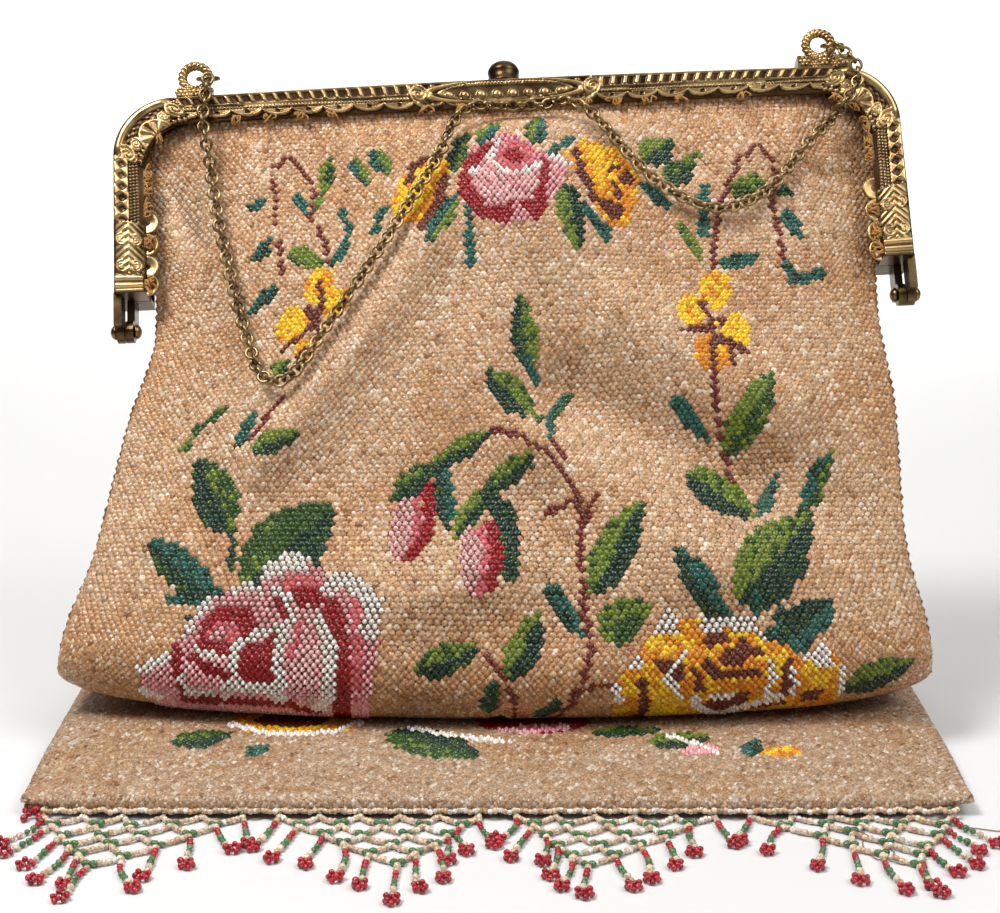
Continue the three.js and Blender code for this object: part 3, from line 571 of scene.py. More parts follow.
def middle_line(along):
    """Middle line of the folded pouch at a length from the hem: y, z and heading from +Y."""
    along = np.asarray(along, float)
    under = along - FLAP_LENGTH - REAR_LENGTH
    nose = under - UNDER_LENGTH
    rear_turn = np.clip((along - FLAP_LENGTH) / REAR_RADIUS, 0, math.pi)
    nose_turn = np.clip(nose / NOSE_RADIUS, 0, NOSE_TURN)
    heading = rear_turn - nose_turn
    slope = np.maximum(nose - NOSE_LENGTH, 0)
    run = np.minimum(along, FLAP_LENGTH) - np.clip(under, 0, UNDER_LENGTH)
    turns = REAR_RADIUS * np.sin(rear_turn) - NOSE_RADIUS * np.sin(nose_turn)
    rise = REAR_RADIUS * (1 - np.cos(rear_turn)) + NOSE_RADIUS * (1 - np.cos(nose_turn))
    y = HEM_Y + run + turns + slope * np.cos(heading)
    z = FLAP_HALF + rise + slope * np.sin(heading)
    return y, z, heading


def section_curve(column):
    """A smooth curve through one column of the sections that never overshoots its rows."""
    places = np.array([row.along for row in SECTIONS], float)
    values = np.array([getattr(row, column) for row in SECTIONS], float)
    steps = np.diff(places)
    slopes = np.diff(values) / steps
    before, after = slopes[:-1], slopes[1:]
    same = before * after > 0
    weight_before = 2 * steps[1:] + steps[:-1]
    weight_after = steps[1:] + 2 * steps[:-1]
    spread = weight_before / np.where(same, before, 1) + weight_after / np.where(same, after, 1)
    inner = np.where(same, (weight_before + weight_after) / spread, 0)
    tangents = np.concatenate([slopes[:1], inner, slopes[-1:]])

    def curve(along):
        i = np.clip(np.searchsorted(places, along, side="right") - 1, 0, len(steps) - 1)
        t = np.clip((along - places[i]) / steps[i], 0, 1)
        back = 1 - t
        return (
            values[i] * (1 + 2 * t) * back * back
            + tangents[i] * steps[i] * t * back * back
            + values[i + 1] * t * t * (3 - 2 * t)
            - tangents[i + 1] * steps[i] * t * t * back
        )

    return curve


SECTION = {column: section_curve(column) for column in Section._fields[1:]}


def half_width(along):
    """Half width of the pouch, drawn in round the top corners."""
    over = np.clip((along - CLOTH_LENGTH) / MOUTH_CORNER + 1, 0, 0.98)
    return SECTION["half_width"](along) - MOUTH_CORNER * (1 - np.sqrt(1 - over * over))


def sag(across, along):
    """How far the cloth sags at a place: forward and down."""
    into = smooth_step((along - SAG_START) / (SAG_FULL - SAG_START))
    out = smooth_step((SAG_END - along) / (SAG_END - SAG_FADES))
    middle = 1 - np.minimum(np.abs(across) / SECTIONS[2].half_width, 1) ** 2
    weight = into * out
    down = SAG_AT_SIDES + (1 - SAG_AT_SIDES) * middle
    return SAG_FORWARD * weight * middle, SAG_DOWN * weight * down


def fold_height(across, up):
    """Height of the folds and pleats at a place on the leaning front."""
    height = 0
    for fold in FOLDS + PLEATS:
        run_across = fold.to_across - fold.from_across
        run_up = fold.to_up - fold.from_up
        reached = (across - fold.from_across) * run_across + (up - fold.from_up) * run_up
        t = np.clip(reached / (run_across**2 + run_up**2), 0, 1)
        off_across = across - fold.from_across - t * run_across
        off_up = up - fold.from_up - t * run_up
        height = height + fold.height * np.exp(-(off_across**2 + off_up**2) / fold.reach**2)
    return height


def fold_share(share, up):
    """Share of the folds that shows: none under the bar, at the side edges or past the front turn."""
    below_bar = smooth_step((FRAME_UP - BAR_FACE - FOLD_BAR_GAP - up) / FOLD_BAR_FADE)
    above_turn = np.clip((up - FOLD_TURN_FROM) / FOLD_TURN_FADE, 0, 1)
    inside_edge = np.clip((1 - np.abs(share)) / FOLD_EDGE_FADE, 0, 1)
    return below_bar * above_turn * inside_edge


def crown(share, up):
    """Thickness across the pouch, from 0 at a side edge to 1."""
    edge = np.minimum(np.abs(share), 1)
    flat = np.minimum(1, FLAT_FULL * np.sqrt(1 - edge**FLAT_POWER))
    lens = (1 - edge**LENS_POWER) ** LENS_ROUND
    above_turn = np.clip((up - LENS_FROM) / LENS_FADE, 0, 1)
    below_bar = np.clip((FRAME_UP - LENS_BAR_GAP - up) / LENS_BAR_FADE, 0, 1)
    puff = above_turn * below_bar
    return flat * (1 - puff) + lens * puff


def place_on_pouch(across, along, depth):
    """A place in the row frame. depth: in front of the pouch's middle line."""
    y, z, heading = middle_line(along)
    roll = ROLL * SECTION["roll"](along)
    slide = across * np.sin(roll)
    x = SECTION["shift"](along) + across * np.cos(roll)
    forward, down = sag(across, along)
    y = y + slide * np.cos(heading) - depth * np.sin(heading) - forward
    z = z + slide * np.sin(heading) + depth * np.cos(heading) - down
    return np.stack(np.broadcast_arrays(x, y, z), axis=-1) + ORIGIN_SHIFT


def front_depth(share, along, inset):
    up = along - SLOPE_AT
    fold = fold_height(share * half_width(along), up) * fold_share(share, up)
    return (SECTION["front"](along) - inset) * crown(share, up) + fold


def pouch_point(share, along, side, inset=0.0):
    """A place on the pouch's front, side 1, or back, side -1, in the row frame."""
    if side > 0:
        depth = front_depth(share, along, inset)
    else:
        depth = -(SECTION["back"](along) - inset) * crown(share, along - SLOPE_AT)
    return place_on_pouch(share * (half_width(along) - inset), along, depth)


def hem_point(share, turn, inset=0.0):
    """A place on the round hem, from the front's edge, turn 0, to the back's, turn pi."""
    start = np.zeros_like(share)
    top = pouch_point(share, start, 1, inset)
    bottom = pouch_point(share, start, -1, inset)
    middle = (top + bottom) / 2
    radius = (top[..., 2] - bottom[..., 2]) / 2
    middle[..., 1] -= radius * np.sin(turn)
    middle[..., 2] += radius * np.cos(turn)
    return middle


def surface_point(share, path, side, inset=0.0):
    """A place on the pouch. Below zero the front's path goes round the hem."""
    on_pouch = pouch_point(share, np.maximum(path, 0), side, inset)
    on_hem = hem_point(share, np.maximum(-path, 0) / HEM_RADIUS, inset)
    return np.where((path < 0)[..., None], on_hem, on_pouch)


def frame_point(across, depth, up):
    """A place in the row frame, from the frame's own plane. depth: towards the viewer."""
    top_y, top_z, _ = middle_line(SLOPE_AT + FRAME_UP)
    across, depth, up = np.broadcast_arrays(across, depth, up)
    x = across * math.cos(ROLL) - up * math.sin(ROLL)
    rise = across * math.sin(ROLL) + up * math.cos(ROLL)
    y = -depth * math.cos(LEAN) + rise * math.sin(LEAN)
    z = depth * math.sin(LEAN) + rise * math.cos(LEAN)
    return np.stack([x + CLASP_ACROSS, y + top_y, z + top_z], axis=-1) + ORIGIN_SHIFT


def unit(vectors):
    return vectors / np.maximum(np.linalg.norm(vectors, axis=-1, keepdims=True), 1e-9)


NOISE_TABLE = 64


def lattice_noise(x, y, cell_x, cell_y, seed):
    """Smooth random values from 0 to 1 over a plane."""
    table = np.random.default_rng(seed).random((NOISE_TABLE, NOISE_TABLE))
    x = x / cell_x
    y = y / cell_y
    left = np.floor(x).astype(int)
    low = np.floor(y).astype(int)
    across = smooth_step(x - left)
    up = smooth_step(y - low)
    rows = []
    for row in (low % NOISE_TABLE, (low + 1) % NOISE_TABLE):
        start = table[left % NOISE_TABLE, row]
        end = table[(left + 1) % NOISE_TABLE, row]
        rows.append(start * (1 - across) + end * across)
    return rows[0] * (1 - up) + rows[1] * up


class Shape:
    """Points in millimetres, faces and point values of a mesh that is put together part by part."""

    def __init__(self):
        self.points = []
        self.faces = []
        self.values = []
        self.count = 0

    def add(self, points, faces, value=None):
        points = np.asarray(points, float).reshape(-1, 3)
        self.faces.extend(tuple(self.count + i for i in face) for face in faces)
        self.points.append(points)
        if value is not None:
            self.values.append(np.broadcast_to(np.asarray(value, float), (len(points), 3)))
        self.count += len(points)

    def make(self, name, material, value_name=None):
        mesh = bpy.data.meshes.new(name)
        mesh.from_pydata((np.concatenate(self.points) * MM).tolist(), [], self.faces)
        if value_name:
            add_point_colour(mesh, value_name, np.concatenate(self.values))
        return finish_piece(name, mesh, material)


def add_point_colour(mesh, name, colours):
    attribute = mesh.color_attributes.new(name, "FLOAT_COLOR", "POINT")
    full = np.ones((len(colours), 4), np.float32)
    full[:, :3] = colours
    attribute.data.foreach_set("color", full.ravel())


def finish_piece(name, mesh, material):
    mesh.validate()
    mesh.update()
    mesh.polygons.foreach_set("use_smooth", np.ones(len(mesh.polygons), bool))
    mesh.materials.append(material)
    piece = bpy.data.objects.new(name, mesh)
    bpy.context.scene.collection.objects.link(piece)
    return piece


def grid_faces(rows, columns, closed=False):
    """Four-sided faces of a grid of points, whose columns may close on themselves."""
    faces = []
    for row in range(0, (rows - 1) * columns, columns):
        above = row + columns
        for c in range(columns if closed else columns - 1):
            after = (c + 1) % columns
            faces.append((row + c, row + after, above + after, above + c))
    return faces


def flipped(faces):
    """The same faces, seen from their other side."""
    return [face[::-1] for face in faces]


def full_turn(count):
    """Evenly spaced angles round a circle."""
    return np.linspace(0, 2 * math.pi, count, endpoint=False)


# A way that no route starts along
ANY_WAY = (0.31, 0.42, 0.85)


def tube(route, radius, sides, closed=False):
    """Points and faces of a round tube along a route. radius: one value, or one for each point."""
    route = np.asarray(route, float)
    if closed:
        ahead = np.roll(route, -1, axis=0) - np.roll(route, 1, axis=0)
    else:
        ahead = np.gradient(route, axis=0)
    ahead = unit(ahead)
    side = np.cross(ahead[0], ANY_WAY)
    sides_way = []
    for step in ahead:
        side = unit(side - step * np.dot(side, step))
        sides_way.append(side)
    sides_way = np.array(sides_way)
    other_way = np.cross(ahead, sides_way)
    turn = full_turn(sides)[:, None]
    ring = sides_way[:, None] * np.cos(turn) + other_way[:, None] * np.sin(turn)
    radius = np.broadcast_to(radius, len(route))[:, None, None]
    points = (route[:, None] + radius * ring).reshape(-1, 3)
    faces = grid_faces(len(route), sides, closed=True)
    last = (len(route) - 1) * sides
    if closed:
        faces += [(last + c, last + (c + 1) % sides, (c + 1) % sides, c) for c in range(sides)]
    else:
        faces += [tuple(reversed(range(sides))), tuple(range(last, last + sides))]
    return points, faces


def ball(middle, axes, sides=8, rings=5):
    """Points and faces of an ellipsoid. axes: its three half axes."""
    turn = full_turn(sides)
    rise = np.linspace(-math.pi / 2, math.pi / 2, rings + 2)[1:-1]
    around = np.stack([
        np.outer(np.cos(rise), np.cos(turn)),
        np.outer(np.cos(rise), np.sin(turn)),
        np.outer(np.sin(rise), np.ones(sides)),
    ], axis=-1).reshape(-1, 3)
    local = np.concatenate([around, [(0, 0, -1), (0, 0, 1)]])
    points = np.asarray(middle) + local @ np.asarray(axes)
    faces = grid_faces(rings, sides, closed=True)
    low, high = rings * sides, rings * sides + 1
    last = (rings - 1) * sides
    faces += [((c + 1) % sides, c, low) for c in range(sides)]
    faces += [(last + c, last + (c + 1) % sides, high) for c in range(sides)]
    return points, faces


SAME_PLACE = 1e-6
CURVE_STEPS = 24


def smooth_route(points, count):
    """Evenly spaced points on a curve through the given ones. Knots: by the root of their distance."""
    points = np.asarray(points, float)
    ends = np.concatenate([[2 * points[0] - points[1]], points, [2 * points[-1] - points[-2]]])
    fine = []
    for a, b, c, d in zip(ends, ends[1:], ends[2:], ends[3:]):
        gaps = [max(np.linalg.norm(q - p), SAME_PLACE) ** 0.5 for p, q in ((a, b), (b, c), (c, d))]
        k0, k1, k2, k3 = np.cumsum([0] + gaps)
        t = np.linspace(k1, k2, CURVE_STEPS, endpoint=False)[:, None]
        ab = between(t, k0, k1, a, b)
        bc = between(t, k1, k2, b, c)
        cd = between(t, k2, k3, c, d)
        left = between(t, k0, k2, ab, bc)
        right = between(t, k1, k3, bc, cd)
        fine.append(between(t, k1, k2, left, right))
    return spaced(np.concatenate(fine + [points[-1:]]), count)


def between(t, start, end, first, last):
    return (end - t) / (end - start) * first + (t - start) / (end - start) * last


def spaced(route, count):
    """The same route with evenly spaced points."""
    length = lengths_along(route)
    wanted = np.linspace(0, length[-1], count)
    return np.stack([np.interp(wanted, length, route[:, k]) for k in range(route.shape[1])], axis=1)


def lengths_along(route):
    """Length of a route up to each of its points."""
    return np.concatenate([[0], np.cumsum(np.linalg.norm(np.diff(route, axis=0), axis=1))])


# Sockets of a mix node that mixes colours
MIX_FACTOR = 0
MIX_FIRST = 6
MIX_SECOND = 7
MIX_RESULT = 2


class NodePen:
    """A new material whose nodes are added and joined in short calls."""

    def __init__(self, name):
        self.material = bpy.data.materials.new(name)
        self.material.use_nodes = True
        self.tree = self.material.node_tree

    def fill(self, node, inputs):
        """Joins each input to a socket, or gives it a constant value."""
        for key, value in inputs.items():
            if isinstance(value, bpy.types.NodeSocket):
                self.tree.links.new(value, node.inputs[key])
            else:
                node.inputs[key].default_value = value
        return node

    def node(self, kind, inputs, **settings):
        made = self.tree.nodes.new(kind)
        for key, value in settings.items():
            setattr(made, key, value)
        return self.fill(made, inputs)

    def finish(self, inputs):
        """Fills in the shader and hands out the material."""
        self.fill(self.tree.nodes["Principled BSDF"], inputs)
        return self.material

    def place(self):
        return self.node("ShaderNodeTexCoord", {}).outputs["Object"]

    def noise(self, scale, detail=3.0):
        inputs = {"Scale": scale, "Detail": detail, "Vector": self.place()}
        return self.node("ShaderNodeTexNoise", inputs).outputs["Fac"]

    def ramp(self, source, *stops):
        made = self.node("ShaderNodeValToRGB", {"Fac": source})
        elements = made.color_ramp.elements
        while len(elements) < len(stops):
            elements.new(0.5)
        for element, (at, colour) in zip(elements, stops):
            element.position = at
            element.color = (*colour, 1)
        return made.outputs["Color"]

    def mix(self, kind, factor, first, second):
        inputs = {MIX_FACTOR: factor, MIX_FIRST: first, MIX_SECOND: second}
        return self.node("ShaderNodeMix", inputs, data_type="RGBA", blend_type=kind).outputs[MIX_RESULT]

    def grey(self, source, low, high):
        inputs = {"Value": source, "To Min": low, "To Max": high}
        return self.node("ShaderNodeMapRange", inputs).outputs["Result"]

    def bump(self, source, strength, distance):
        inputs = {"Height": source, "Strength": strength, "Distance": distance}
        return self.node("ShaderNodeBump", inputs).outputs["Normal"]

    def attribute(self, name):
        return self.node("ShaderNodeVertexColor", {}, layer_name=name).outputs["Color"]


WHITE = (1, 1, 1)
BLACK = (0, 0, 0)


def bead_material(name, attribute, roughness, gloss):
    """Glass beads: each bead's own colour, a little uneven, with painted glints of small light specks,
    under a coat of the given gloss.
    """
    pen = NodePen(name)
    cloud = pen.ramp(pen.noise(1900, 2), (0.34, (0.52, 0.47, 0.43)), (0.6, WHITE))
    # Painted glints: light specks added to the beads' colour
    painted_glint = pen.ramp(pen.noise(2600, 1), (0.63, BLACK), (0.7, (0.24, 0.23, 0.2)))
    uneven = pen.mix("MULTIPLY", 1.0, pen.attribute(attribute), cloud)
    return pen.finish({
        "Base Color": pen.mix("ADD", 1.0, uneven, painted_glint),
        "Roughness": pen.grey(pen.noise(1400), roughness - 0.06, roughness + 0.1),
        "Specular IOR Level": 0.3,
        "Coat Weight": gloss,
        "Coat Roughness": 0.12,
    })


def thread_material(name, colour, strand, roughness):
    """Spun thread: fine twisted strands with light and dark lengths. strand: waves in a metre."""
    pen = NodePen(name)
    inputs = {"Scale": strand, "Distortion": 2.5, "Vector": pen.place()}
    wave = pen.node("ShaderNodeTexWave", inputs, bands_direction="DIAGONAL").outputs["Fac"]
    dark = tuple(0.45 * part for part in colour)
    light = tuple(min(1.0, 1.25 * part) for part in colour)
    strands = pen.ramp(wave, (0.1, dark), (0.6, colour), (1.0, light))
    cloud = pen.ramp(pen.noise(160), (0.3, (0.7, 0.66, 0.62)), (0.75, WHITE))
    return pen.finish({
        "Base Color": pen.mix("MULTIPLY", 1.0, strands, cloud),
        "Roughness": pen.grey(wave, roughness - 0.1, roughness + 0.1),
        "Normal": pen.bump(wave, 0.5, 0.0002),
        "Sheen Weight": 0.25,
    })


def gilt_material(name, gilt, tarnish, relief=None):
    """Old gilt brass: bright where rubbed, dark in the recesses, with stains and fine scratches."""
    pen = NodePen(name)
    rubbed = tuple(0.5 * (g + t) for g, t in zip(gilt, tarnish))
    stains = pen.noise(210, 6)
    if relief:
        height = pen.node("ShaderNodeSeparateColor", {"Color": pen.attribute(relief)}).outputs["Red"]
        metal = pen.ramp(height, (0.12, tarnish), (0.5, rubbed), (0.88, gilt))
    else:
        metal = pen.ramp(pen.noise(120, 6), (0.25, rubbed), (0.6, gilt))
    shade = pen.ramp(stains, (0.34, (0.42, 0.34, 0.31)), (0.6, WHITE))
    return pen.finish({
        "Base Color": pen.mix("MULTIPLY", 0.85, metal, shade),
        "Roughness": pen.grey(stains, 0.2, 0.46),
        "Normal": pen.bump(pen.noise(2600, 2), 0.12, 0.0001),
        "Metallic": 1.0,
    })


def floor_material(colour):
    pen = NodePen("pale_table")
    dull = tuple(0.985 * part for part in colour)
    soft = pen.ramp(pen.noise(3), (0.2, dull), (0.8, colour))
    return pen.finish({"Base Color": soft, "Roughness": 0.6})


def bag_settings():
    scene = bpy.context.scene
    return scene.bag_sizes, scene.bag_colours


def bead_palette(colours):
    return {name: np.array(getattr(colours, name)) for name in colours.__annotations__}


def millimetres(value):
    return value / MM


# Cloth

CLOTH_INSET = 1.0
BEAD_SEAT = 0.45
CLOTH_SHARES = np.sin(np.linspace(-math.pi / 2, math.pi / 2, 61))
CLOTH_STEP = 2.6
HEM_STEPS = 9


def cloth_shape():
    """The knitted pouch under the beads: one strip down the front, round the hem and up the back."""
    paths = np.linspace(0, CLOTH_LENGTH, int(CLOTH_LENGTH / CLOTH_STEP))
    turns = np.linspace(0, math.pi, HEM_STEPS)[1:-1]
    along = [np.full_like(CLOTH_SHARES, path) for path in paths]
    rows = [pouch_point(CLOTH_SHARES, path, 1, CLOTH_INSET) for path in along[::-1]]
    rows += [hem_point(CLOTH_SHARES, turn, CLOTH_INSET) for turn in turns]
    rows += [pouch_point(CLOTH_SHARES, path, -1, CLOTH_INSET) for path in along]
    points = np.concatenate(rows)
    faces = flipped(grid_faces(len(rows), len(CLOTH_SHARES)))
    shape = Shape()
    shape.add(points, [corners_apart(face, points) for face in faces])
    return shape


def corners_apart(face, points):
    """The face without a corner that lies on the one before it, as at the hem's two ends."""
    pairs = zip((face[-1], *face), face)
    return tuple(i for before, i in pairs if math.dist(points[before], points[i]) > SAME_PLACE)


# Beads of the cloth

ROW_SAMPLES = np.sin(np.linspace(-math.pi / 2, math.pi / 2, 361))
HEM_ROWS_FROM = -2.3 * HEM_RADIUS
BACK_ROWS_FROM = FLAP_LENGTH - 4
NOSE_FROM = SLOPE_AT - NOSE_LENGTH
FRONT_SPLIT = SLOPE_AT + 55


def bead_ring(radius, height, degrees):
    turns = [math.radians(degree) for degree in degrees]
    return [(radius * math.cos(turn), radius * math.sin(turn), height) for turn in turns]


# A bead: six points on the thread and three on top
BEAD_BASE = bead_ring(1.0, -0.35, range(0, 360, 60))
BEAD_TOP = bead_ring(0.5, 1.0, (90, 210, 330))
BEAD_POINTS = np.array(BEAD_BASE + BEAD_TOP)
BEAD_FACES = np.array([
    (1, 2, 6), (2, 3, 7), (2, 7, 6), (3, 4, 7), (4, 5, 8), (4, 8, 7), (5, 0, 8), (0, 1, 6), (0, 6, 8),
    (6, 7, 8),
])

# How far beads differ in tilt, size and place, and how near to the floor they come
BEAD_TILT = 0.08
BEAD_SPREAD = 0.04
STRAY_ACROSS = 0.04
STRAY_UP = 0.03
BEAD_FLOOR = 0.2
POINT_FLOOR = 0.02

GROUND_BEADS = ("tan", "pale", "brown", "clear")
OPAQUE_BEADS = ("white", "pink", "blush")

# Width, length and rise against the usual bead
GROUND_SIZE = (1.4, 1.34, 0.5)
OPAQUE_SIZE = (1.02, 1.06, 1.15)
GLASS_SIZE = (1.4, 1.34, 0.65)

# Rows of the back are spaced at a share of its depth, between the inner and the outer turns.
BACK_ROW_DEPTH = 0.5
ROW_STEP = 0.2


def side_profile(side, paths):
    """The pouch seen from the side, as places y and z on its front or halfway to its back."""
    y, z, heading = middle_line(np.maximum(paths, 0))
    if side > 0:
        depth = SECTION["front"](np.maximum(paths, 0))
    else:
        depth = -BACK_ROW_DEPTH * SECTION["back"](np.maximum(paths, 0))
    line = np.stack([y - depth * np.sin(heading), z + depth * np.cos(heading)], axis=1)
    turn = np.maximum(-paths, 0) / HEM_RADIUS
    round_hem = np.stack([HEM_Y - HEM_RADIUS * np.sin(turn), HEM_RADIUS * (1 + np.cos(turn))], axis=1)
    return np.where((paths < 0)[:, None], round_hem, line)


def bead_rows(side, start, pitch):
    """Paths of the rows of beads, and their heights on the surface over the leaning body's start."""
    paths = np.arange(start, CLOTH_LENGTH, ROW_STEP)
    line = side_profile(side, paths)
    length = lengths_along(line)
    at = np.arange(pitch / 2, length[-1], pitch)
    return np.interp(at, length, paths), at - np.interp(SLOPE_AT, paths, length)


BeadField = namedtuple("BeadField", "share path height across")
BRICK_OFFSETS = (0.25, 0.75)


def bead_field(side, start, sizes):
    """Where the beads of one face lie: bricks of even pitch in each row."""
    pitch = millimetres(sizes.bead_pitch)
    paths, heights = bead_rows(side, start, millimetres(sizes.bead_row))
    per_row = int(round(2 * SECTIONS[2].half_width / pitch))
    shares = []
    for number, path in enumerate(paths):
        line = surface_point(ROW_SAMPLES, np.full_like(ROW_SAMPLES, path), side)
        length = lengths_along(line)
        at = (np.arange(per_row) + BRICK_OFFSETS[number % 2]) / per_row * length[-1]
        shares.append(np.interp(at, length, ROW_SAMPLES))
    share = np.concatenate(shares)
    path = np.repeat(paths, per_row)
    return BeadField(share, path, np.repeat(heights, per_row), share * half_width(np.maximum(path, 0)))


def distance_to_line(across, height, points):
    nearest = np.full(across.shape, np.inf)
    for (x0, y0), (x1, y1) in zip(points, points[1:]):
        run_x, run_y = x1 - x0, y1 - y0
        t = np.clip(((across - x0) * run_x + (height - y0) * run_y) / (run_x**2 + run_y**2), 0, 1)
        nearest = np.minimum(nearest, np.hypot(across - x0 - t * run_x, height - y0 - t * run_y))
    return nearest


def inside_outline(across, height, points):
    inside = np.zeros(across.shape, bool)
    for (x0, y0), (x1, y1) in zip(points, points[1:] + points[:1]):
        if y0 != y1:
            crosses = (y0 > height) != (y1 > height)
            inside ^= crosses & (across < (x1 - x0) * (height - y0) / (y1 - y0) + x0)
    return inside


def turned(across, height, motif):
    turn = math.radians(motif.turn)
    dx = across - motif.across
    dy = height - motif.height
    return dx * math.cos(turn) + dy * math.sin(turn), dy * math.cos(turn) - dx * math.sin(turn)


def paint(chart, across, height, motifs):
    """Colours the beads that lie in each motif. chart: a colour name for each bead."""
    for motif in motifs:
        if isinstance(motif, Leaf):
            along, off = turned(across, height, motif)
            t = np.clip(2 * along / motif.length, -1, 1)
            half = motif.width / 2 * (1 - t * t) ** 0.75 * (1 - 0.25 * t)
            inside = (np.abs(2 * along) < motif.length) & (np.abs(off) < half)
            chart[inside & (off >= 0)] = motif.light
            chart[inside & (off < 0)] = motif.dark
        elif isinstance(motif, Stroke):
            chart[distance_to_line(across, height, motif.points) < motif.width / 2] = motif.colour
        elif isinstance(motif, Oval):
            along, off = turned(across, height, motif)
            chart[np.hypot(2 * along / motif.wide, 2 * off / motif.tall) < 1] = motif.colour
        else:
            chart[inside_outline(across, height, motif.points)] = motif.colour


LEAF_NEIGHBOURS = {"lime": "green", "green": "lime", "dark": "green", "teal": "dark"}
FLOWER_NEIGHBOURS = {
    "pink": "blush", "blush": "pink", "amber": "yellow", "yellow": "amber", "rose": "pink",
}
LEAF_SWAPS = 0.16
FLOWER_SWAPS = 0.2

# Mottled ground: the shares of its beads, and how far they gather in upright streaks
PALE_BELOW = 0.36
CLEAR_BELOW = 0.05
BROWN_ABOVE = 0.97
STREAK_SHARE = 0.12
STREAK_CELL = (1.6, 9)

BODY_MOTIFS = (STEMS, LEAVES, TENDRILS, TOP_BUDS, TOP_ROSE, PANSIES, BRANCH_BUDS, YELLOW_ROSE, BIG_ROSE)
BODY_MOTIFS_FROM = -40
FAR_OFF = 1e6


def bead_chart(field, rng):
    """Names the colour of each bead: the pattern, and elsewhere a mottled ground."""
    across, height, path = field.across, field.height, field.path
    count = len(across)
    draw = rng.random(count) + STREAK_SHARE * (lattice_noise(across, height, *STREAK_CELL, SEED + 2) - 0.5)
    chart = np.full(count, "tan", dtype="U8")
    chart[draw < PALE_BELOW] = "pale"
    chart[draw < CLEAR_BELOW] = "clear"
    chart[draw > BROWN_ABOVE] = "brown"
    pattern = np.full(count, "", dtype="U8")
    body = np.where(height > BODY_MOTIFS_FROM, height, FAR_OFF)
    for motifs in BODY_MOTIFS:
        paint(pattern, across, body, motifs)
    flap = np.where(path < FLAP_LENGTH / 2, path, FAR_OFF)
    paint(pattern, across, flap, [*FLAP_LEAVES, *FLAP_FLOWERS])
    for neighbours, chance in ((LEAF_NEIGHBOURS, LEAF_SWAPS), (FLOWER_NEIGHBOURS, FLOWER_SWAPS)):
        swapped = rng.random(count) < chance
        old = pattern.copy()
        for name, other in neighbours.items():
            pattern[swapped & (old == name)] = other
    return np.where(pattern == "", chart, pattern)


# Stains and painted shade: what they take of the ground's colour, the stains' large and small clouds, the
# worn places at the sides and the bar, a painted shade at the front turn, and a painted shade that darkens
# and dulls the flap
STAIN_AND_SHADE = np.array([0.1, 0.22, 0.36])
STAIN_AND_SHADE_FROM = 0.42
STAIN_AND_SHADE_FADE = 0.4
CLOUDS = ((0.6, 17, 13), (0.4, 4, 3.4))
WORN_AND_SHADE_SHARE = 0.25
WORN_SIDES_FROM = 0.86
WORN_SIDES_FADE = 0.12
WORN_SIDES_ABOVE = 50
WORN_BAR_DEPTH = 13
WORN_BAR_FADE = 10
# Painted shade at the front turn, where the body curves under onto the flap
TURN_SHADE_REACH = 9
TURN_SHADE_WEIGHT = 1.6
# Painted shade that darkens the flap's ground beads, with a cooler, duller hue
FLAP_PAINTED_SHADE = (0.76, 0.81, 0.88)


def ground_tint(field):
    """What stains and painted shade leave of the ground's colour: least at the frame and, as painted shade,
    at the front turn. Painted shade darkens and dulls the flap.
    """
    cloud = 0
    for number, (weight, *cell) in enumerate(CLOUDS):
        cloud = cloud + weight * lattice_noise(field.across, field.height, *cell, SEED + number)
    at_sides = smooth_step((np.abs(field.share) - WORN_SIDES_FROM) / WORN_SIDES_FADE)
    at_sides = at_sides * (field.height > WORN_SIDES_ABOVE)
    at_bar = smooth_step((field.path - CLOTH_LENGTH + WORN_BAR_DEPTH) / WORN_BAR_FADE)
    # Painted shade at the front turn
    painted_turn_shade = smooth_step((SLOPE_AT + TURN_SHADE_REACH - field.path) / TURN_SHADE_REACH)
    painted_turn_shade = painted_turn_shade * (field.path > NOSE_FROM)
    worn_and_turn_shade = np.maximum(np.maximum(at_sides, at_bar), TURN_SHADE_WEIGHT * painted_turn_shade)
    stain_and_shade = smooth_step((cloud + WORN_AND_SHADE_SHARE * worn_and_turn_shade - STAIN_AND_SHADE_FROM) / STAIN_AND_SHADE_FADE)
    # Painted shade over the flap
    on_flap = (field.path < FLAP_LENGTH)[:, None]
    return (1 - stain_and_shade[:, None] * STAIN_AND_SHADE) * np.where(on_flap, FLAP_PAINTED_SHADE, 1)


# Steps that the surface's slopes are taken over
SHARE_STEP = 0.004
PATH_STEP = 0.3


